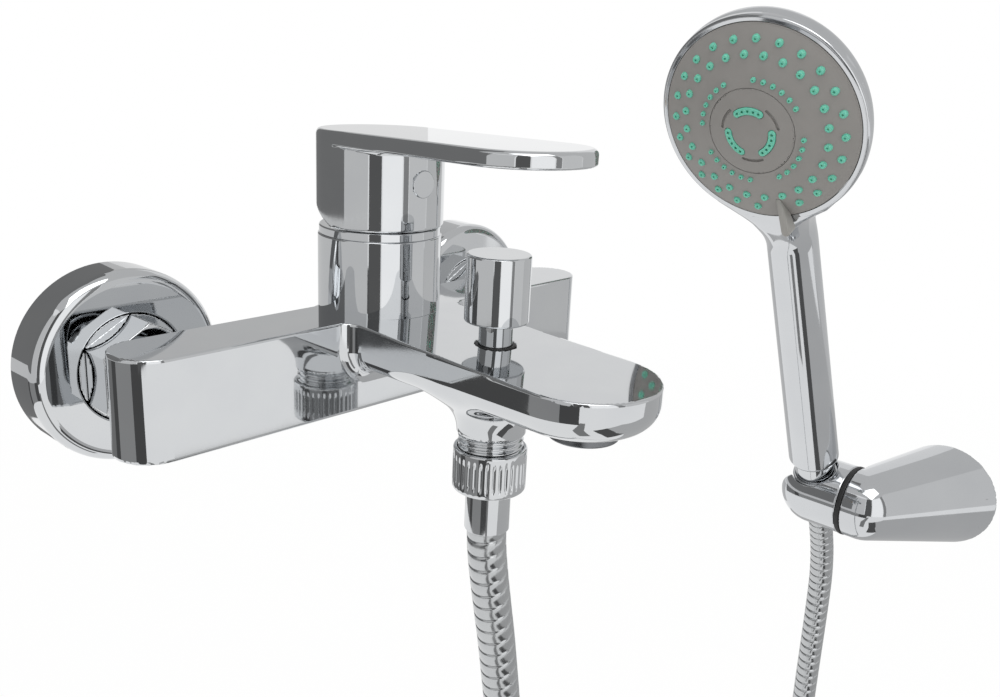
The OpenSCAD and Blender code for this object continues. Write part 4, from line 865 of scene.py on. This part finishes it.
# %% Centre disc, pads and fin
PAD_RING, PAD_W, SLOT_RING, SLOT_W = 0.225 * FACE_R, 3.2, 0.29 * FACE_R, 1.1
PAD_HALF, SLOT_HALF, JET_STEP = math.radians(31), math.radians(20), math.radians(14.5)


def arc_in_plan(x, y, radius, middle, half):
    """Distance in plan to an arc of a circle."""
    along = x * math.cos(middle) + y * math.sin(middle)
    across = np.abs(y * math.cos(middle) - x * math.sin(middle))
    end = np.hypot(along - radius * math.cos(half), across - radius * math.sin(half))
    return np.where(np.arctan2(across, along) < half, np.abs(np.hypot(along, across) - radius), end)


def thirds(x, y, radius, first, half):
    """Distance in plan to three arcs set evenly round the centre."""
    arcs = [arc_in_plan(x, y, radius, first + k * math.tau / 3, half) for k in range(3)]
    return np.minimum(np.minimum(arcs[0], arcs[1]), arcs[2])


def dome_field(x, y, z):
    """Signed distance to the ball that the dome is a part of."""
    return np.sqrt(x * x + y * y + (z - DOME_H + DOME_R) ** 2) - DOME_R


def disc_field(x, y, z):
    """Signed distance to the centre disc."""
    dome = dome_field(x, y, z)
    edge = np.where(dome > -0.45, CENTRE_R - 0.15, CENTRE_R - 1.0)
    disc = keep_both(keep_both(dome, np.hypot(x, y) - edge, 0.3), 3.2 - z, 0.2)
    slots = box_of(thirds(x, y, SLOT_RING, math.tau / 6, SLOT_HALF) - SLOT_W / 2, -0.9 - dome)
    pockets = box_of(thirds(x, y, PAD_RING, 0, PAD_HALF) - PAD_W / 2 - 0.05, -2.0 - dome)
    return bore(bore(disc, slots, 0.2), pockets, 0.2)


def pads_field(x, y, z):
    """Signed distance to the three pads, each with five jets."""
    dome = dome_field(x, y, z)
    pads = keep_both(thirds(x, y, PAD_RING, 0, PAD_HALF) - PAD_W / 2 + 0.05, dome - 0.5, 0.5)
    pads = keep_both(pads, -1.9 - dome, 0.2)
    jets = 99.0
    for k, i in product(range(3), range(-2, 3)):
        angle = k * math.tau / 3 + i * JET_STEP
        jet = np.hypot(x - PAD_RING * math.cos(angle), y - PAD_RING * math.sin(angle))
        jets = np.minimum(jets, jet - 0.52)
    return bore(pads, box_of(jets, -0.7 - dome), 0.15)


FIN_FROM, FIN_TO, FIN_TIP, FIN_END, FIN_TOP = 33.9, 48.6, 1.2, 2.1, 7.0
FIN_TURN, FIN_RISE = math.radians(12.5), 0.15


def fin_field(x, y, z):
    """Signed distance to the selector's fin: a tapered finger that rises out of the dome."""
    out = -x * math.cos(FIN_TURN) - y * math.sin(FIN_TURN) - FIN_FROM
    across = np.abs(y * math.cos(FIN_TURN) - x * math.sin(FIN_TURN))
    length, swell = FIN_TO - FIN_FROM, FIN_END - FIN_TIP
    lean = swell / length
    slant = math.sqrt(1 - lean * lean)
    along = out * slant + across * lean
    flank = across * slant - out * lean - FIN_TIP
    plan = np.where(along < 0, np.hypot(out, across) - FIN_TIP, flank)
    plan = np.where(along > length * slant, np.hypot(out - length, across) - FIN_END, plan)
    fin = keep_both(plan, z - FIN_TOP + FIN_RISE * (length - out), 1.3)
    return keep_both(keep_both(fin, 0.5 - z, 0.4), -0.02 - dome_field(x, y, z), 0.1)


disc = skin(disc_field, (-19.2, -19.2, 3), (19.2, 19.2, 10.6), 0.3)
piece("centre_disc_moulded", moved(disc, on_face), face_paint, "selector", "centre_disc")
pads = skin(pads_field, (-11.6, -11.6, 7), (11.6, 11.6, 11.0), 0.22)
piece("centre_pads_moulded", moved(pads, on_face), silicone, "selector", "centre_pads")
fin = skin(fin_field, (-52.5, -14, 0.3), (-30, 3, 7.2), 0.3)
piece("selector_fin_moulded", moved(fin, on_face), fin_paint, "selector", "selector_fin")

# %% [markdown]
# The bracket holds the hand shower in a tilting cradle: a short barrel with a domed end and a slanted,
# slotted socket for the cone nut. A rubber ring between cradle and base lets it turn stiffly. The cradle is
# a field, for its soft slot edges, and the ring and the nut are turned.

# %% Cradle, friction ring and cone nut
CRADLE_R, CRADLE_L = 19.0, 19.3


def socket_radius(along):
    """Radius of the tapered socket for the cone nut."""
    return np.interp(along, (-19, 14), (9.3, 12.28))


def cradle_field(x, y, z):
    """Signed distance to the cradle, its frame at the swivel and its x across the handle."""
    over, up = x * math.cos(TILT) - z * math.sin(TILT), x * math.sin(TILT) + z * math.cos(TILT)
    barrel = np.sqrt(over * over + up * up + np.maximum(y, 0) ** 2) - CRADLE_R
    cradle = keep_both(barrel, -y - CRADLE_L, 1.2)
    cradle = bore(cradle, np.hypot(x, y) - socket_radius(z), 0.9)
    cradle = bore(cradle, box_of(np.abs(x) - 7.5, -y) + 0 * z, 0.9)
    return bore(cradle, box_of(np.hypot(over, up) - 5.8, np.maximum(y, -15.3 - y)))


cradle = skin(cradle_field, (-19.2, -19.5, -19.2), (19.2, 19.2, 19.2), 0.6)
piece("cradle_moulded", moved(cradle, in_cradle), chrome_abs, "cradle", "cradle")

swivel_frame = frame_at(SWIVEL, (0, -1, 0), X_AXIS)
friction = turned([(4, 19.35, 0.2), (19.3, 19.35, 0.7), (19.3, 21.85, 0.7), (4, 21.85, 0.2)], 96)
piece("friction_ring_moulded", moved(friction, swivel_frame), rubber, "fixed", "friction_ring")

cone = turned([(7.36, -19, 0.2), (9, -19, 0.9), (11.98, 14, 0.7), (10.55, 14, 0.3), (10.55, 0, 0.2),
               (7.36, 0, 0.2)], 80)
piece("cone_nut_turned", moved(cone, in_cradle), chrome_brass, "hose_end", "cone_nut")

# %% [markdown]
# The base is a ball at the swivel that widens to a round foot on the side wall. A loft between circles would
# show where its sections lie, so it is the hull of that ball and the foot: at any share of the way between
# them it is a disc grown by what is left of the ball, and a search finds the nearest such slice.

# %% Bracket base
BALL_AT, FOOT_X = np.array([288.0, -112.85, -127.0]), 338.0
HULL_AT, HULL_R = np.array([342.0, -138.5, -127.0]), 28.9
GOLDEN = (math.sqrt(5) - 1) / 2


def base_field(x, y, z):
    """Signed distance to the base: everything between a ball at the swivel and a round foot."""
    def slice_at(share):
        """Distance to the round slice at a share of the way, grown by what is left of the ball."""
        at = [b + share * (h - b) for b, h in zip(BALL_AT, HULL_AT)]
        beyond = np.maximum(np.hypot(y - at[1], z - at[2]) - share * HULL_R, 0)
        return np.hypot(beyond, x - at[0]) - (1 - share) * CRADLE_R

    low = np.zeros(np.broadcast_shapes(np.shape(x), np.shape(y), np.shape(z)))
    high = low + 1.0
    for _ in range(26):
        step = GOLDEN * (high - low)
        first_half = slice_at(high - step) < slice_at(low + step)
        low, high = np.where(first_half, low, high - step), np.where(first_half, low + step, high)
    base = slice_at((low + high) / 2)
    stub = box_of(np.hypot(x - SWIVEL[0], z - SWIVEL[2]) - CRADLE_R, np.maximum(BALL_AT[1] - y, y + 90))
    base = keep_both(np.minimum(base, stub), y - (SWIVEL[1] - 21.85), 0.7)
    base = keep_both(base, x - FOOT_X, 0.5)
    return bore(base, box_of(np.hypot(y + 136.05, z - HULL_AT[2]) - 24.82, FOOT_X - 5.3 - x))


base = skin(base_field, (268, -165, -156), (338, -106.8, -98), 0.7)
piece("bracket_base_moulded", base, chrome_abs, "fixed", "bracket_base")

# %% [markdown]
# The CAD nodes that still show, and those inside, keep their own shape. Each gets the finish of what it
# really is: brass and ceramic in the cartridge, rubber seals, acetal guides and steel screws.

# %% Finishes of the CAD nodes that stay
NODE_FINISHES = {
    chrome_brass: "hose_ferrule_upper handset_nipple",
    turned_brass: "retaining_nut diverter_valve",
    screw_steel: "stem_pin cartridge_stem lever_grub_screw face_screw pivot_screw pivot_washer "
                 "bracket_grub_screw",
    acetal: "cartridge_base cartridge_housing stem_guide water_tube spray_distributor bracket_plate",
    ceramic: "fixed_disc sliding_disc",
    rubber: "cartridge_seals union_washers diverter_seal aerator_seal hose_washer_lower "
            "hose_washer_upper",
    dark_acetal: "aerator_insert",
    blue_acetal: "check_valve",
}
for finish, names in NODE_FINISHES.items():
    for name in names.split():
        for material_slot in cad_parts[name].material_slots:
            material_slot.material = finish
print("CAD nodes with finishes:", sum(len(names.split()) for names in NODE_FINISHES.values()))

# %% [markdown]
# Chrome shows the room, so the room comes next. It is white all round, with a pale painted floor well below
# the hose's loop. The camera and the mirrors see the floor almost as white as the room behind it, which
# leaves no edge in the picture, and what is left of its paint keeps the shadow.

# %% Floor
FLOOR_Z = -0.6


def plain_mesh(name, points, faces, material):
    """A stage object, which isn't part of the mixer."""
    mesh = bpy.data.meshes.new(name)
    mesh.from_pydata(points, [], faces)
    mesh.materials.append(material)
    thing = bpy.data.objects.new(name, mesh)
    bpy.context.scene.collection.objects.link(thing)
    return thing


def greater(tree, a, b):
    """The greater of two shader values."""
    return add(tree, "Math", {"operation": "MAXIMUM"}, {0: a, 1: b}).outputs[0]


floor_paint, tree, shader, place = start_finish("studio_floor_painted", "#f2f2f0", 0.0, 0.8)
mottle(tree, shader, place, 120.0, ("#f0f0ee", "#f4f4f2"), (0.75, 0.85))
seen = add(tree, "LightPath")
white = add(tree, "Emission", {}, {"Color": (1, 1, 1, 1), "Strength": 1.0})
clear = greater(tree, seen.outputs["Is Camera Ray"], seen.outputs["Is Glossy Ray"])
away = add(tree, "VectorMath", {"operation": "LENGTH"}, {0: place})
fade = add(tree, "MapRange", {}, {"Value": away.outputs["Value"], "From Min": 0.6, "From Max": 2.4,
                                  "To Min": 0.9, "To Max": 1.0})
part_of = add(tree, "Math", {"operation": "MULTIPLY"}, {0: clear, 1: fade.outputs[0]})
mixed = add(tree, "MixShader", {}, {0: part_of.outputs[0], 1: shader.outputs[0], 2: white.outputs[0]})
tree.links.new(mixed.outputs[0], tree.nodes["Material Output"].inputs["Surface"])
plain_mesh("studio_floor", [(-6, -6, FLOOR_Z), (6, -6, FLOOR_Z), (6, 6, FLOOR_Z), (-6, 6, FLOOR_Z)],
           [(0, 1, 2, 3)], floor_paint)

# %% [markdown]
# Cards stand and lie out of the picture: grey walls and a ceiling, a bright panel on the right, and dark
# strips that draw the long lines which tell the eye that a chrome tube is round. A picture of a studio would
# do it at once, but cards can be set one by one. They are seen only in reflections, so they cast no shadow
# and add no light to the painted parts.

# %% Cards
CARD_DISTANCE, CARD_FOOT, CARD_TOP = 1.9, -0.55, 1.7
CENTRE = np.array([0.12, -0.1])
to_camera = -look[:2] / np.linalg.norm(look[:2])
to_right = level[:2]


def card(name, points, faces, strength):
    """A studio card that is seen only in reflections."""
    material, tree, shader, place = start_finish(name + "_paint", "#ffffff", 0.0, 0.9)
    glow = add(tree, "Emission", {}, {"Color": (1, 1, 1, 1), "Strength": strength})
    tree.links.new(glow.outputs[0], tree.nodes["Material Output"].inputs["Surface"])
    thing = plain_mesh(name, points, faces, material)
    thing.visible_camera = thing.visible_diffuse = thing.visible_shadow = False
    thing.visible_transmission = thing.visible_volume_scatter = False


def round_place(angle, distance):
    """Floor coordinates at an angle from the camera, clockwise, and a distance from the object."""
    angle = math.radians(angle)
    return CENTRE + distance * (math.cos(angle) * to_camera + math.sin(angle) * to_right)


def tall_card(name, first, last, strength, foot=CARD_FOOT, top=CARD_TOP):
    """A tall curved card round the object, between two angles from the camera."""
    steps = 12
    places = [round_place(first + (last - first) * k / steps, CARD_DISTANCE) for k in range(steps + 1)]
    points = [(x, y, z) for x, y in places for z in (foot, top)]
    card(name, points, [(2 * k, 2 * k + 2, 2 * k + 3, 2 * k + 1) for k in range(steps)], strength)


def flat_card(name, corners, strength, height=FLOOR_Z + 0.02):
    """A level card, just above the floor or as a ceiling."""
    card(name, [(x, y, height) for x, y in corners], [tuple(range(len(corners)))], strength)


tall_card("dark_card_behind_camera", -16, 5, 0.12)
tall_card("bright_panel_right", 7, 42, 1.2)
tall_card("dark_card_right", 44, 54, 0.3)
tall_card("grey_wall_right", 55, 95, 0.72)
tall_card("grey_wall_far_right", 96, 150, 0.62)
tall_card("grey_wall_left", -150, -18, 0.67, foot=-0.47, top=-0.25)
tall_card("grey_wall_upper_left", -60, -18, 0.67, foot=-0.25)
tall_card("dark_wall_upper_left", -150, -60, 0.2, foot=-0.25)
tall_card("pale_wall_behind_left", -172, -150, 0.8, top=0.35)
tall_card("grey_wall_behind_left", -172, -150, 0.57, foot=0.35)
tall_card("pale_wall_behind", 151, 188, 0.87, foot=0.3)
flat_card("grey_ceiling", [(-1.5, -2.2), (3.0, -2.2), (3.0, 3.2), (-1.5, 3.2)], 0.62, CARD_TOP + 0.05)

STRIP_LEFT = [(0.2, -0.24), (0.085, -0.345), (0.01, -0.41), (-0.095, -0.475), (-0.25, -0.58)]
STRIP_RIGHT = [(-0.12, -0.86), (0.025, -0.69), (0.115, -0.585), (0.175, -0.485), (0.33, -0.37)]
flat_card("dark_strip_floor", STRIP_LEFT + STRIP_RIGHT, 0.1)
flat_card("grey_card_floor", STRIP_RIGHT + [(0.5, 0.3), (3.4, 0.3), (3.4, -2.1), (1.5, -2.1), (1.4, -1.25),
                                            (0.2, -1.25)], 0.52)
flat_card("grey_card_floor_behind", [(0.45, 0.45), (1.3, 0.45), (2.0, 1.0), (2.0, 2.0), (0.5, 2.0)], 0.6)
flat_card("dark_line_to_camera", [(-0.06, -0.19), (-0.02, -0.28), (-0.33, -0.47), (-0.95, -1.08),
                                  (-1.08, -0.95), (-0.38, -0.31)], 0.25)


def part_ring(first, last, near, far):
    """Corners of a part of a flat ring between two angles from the camera."""
    arc = np.linspace(first, last, 9)
    return [round_place(angle, near) for angle in arc] + [round_place(angle, far) for angle in arc[::-1]]


flat_card("grey_card_floor_left", part_ring(-140, -95, 1.15, 2.9), 0.2)
flat_card("dark_card_floor_left", part_ring(-95, -79, 1.15, 2.9), 0.08)
flat_card("pale_card_floor_left", part_ring(-79, -34, 1.15, 2.9), 0.3)
flat_card("black_card_floor_left", part_ring(-34, -8, 1.15, 2.9), 0.08)
flat_card("dark_card_ceiling_left", part_ring(-145, -95, 0.6, 2.2), 0.2, CARD_TOP + 0.04)

# %% [markdown]
# The world is white to the camera and in mirrors, and a little dimmer where it lights the painted parts, so
# that they keep their colour. One large soft lamp above and in front gives them a gentle shade.

# %% World and lamp
world = bpy.data.worlds.new("studio_world")
bpy.context.scene.world = world
world.use_nodes = True
tree = world.node_tree
tree.nodes.clear()
seen = add(tree, "LightPath")
direct = greater(tree, seen.outputs["Is Camera Ray"], seen.outputs["Is Glossy Ray"])
shown = greater(tree, direct, seen.outputs["Is Transmission Ray"])
ambient = add(tree, "Background", {}, {"Color": (1, 1, 1, 1), "Strength": 0.95})
backdrop = add(tree, "Background", {}, {"Color": (1, 1, 1, 1), "Strength": 1.0})
mixed = add(tree, "MixShader", {}, {0: shown, 1: ambient.outputs[0], 2: backdrop.outputs[0]})
add(tree, "OutputWorld", {}, {"Surface": mixed.outputs[0]})


def soft_lamp(name, at, size, power):
    """A large square lamp that points at the object."""
    data = bpy.data.lights.new(name, "AREA")
    data.size, data.energy = size, power
    lamp = bpy.data.objects.new(name, data)
    place = frame_at(at, np.array(at) - np.array([0.12, -0.1, -0.1]), (1, 0, 0))
    lamp.matrix_world = Matrix(place.tolist())
    bpy.context.scene.collection.objects.link(lamp)


soft_lamp("soft_lamp_above", (-0.3, -0.7, 1.6), 1.2, 9.0)

# %% [markdown]
# The colours are shown as written, with no film look.

# %% Finish
bpy.context.scene.view_settings.view_transform = "Standard"
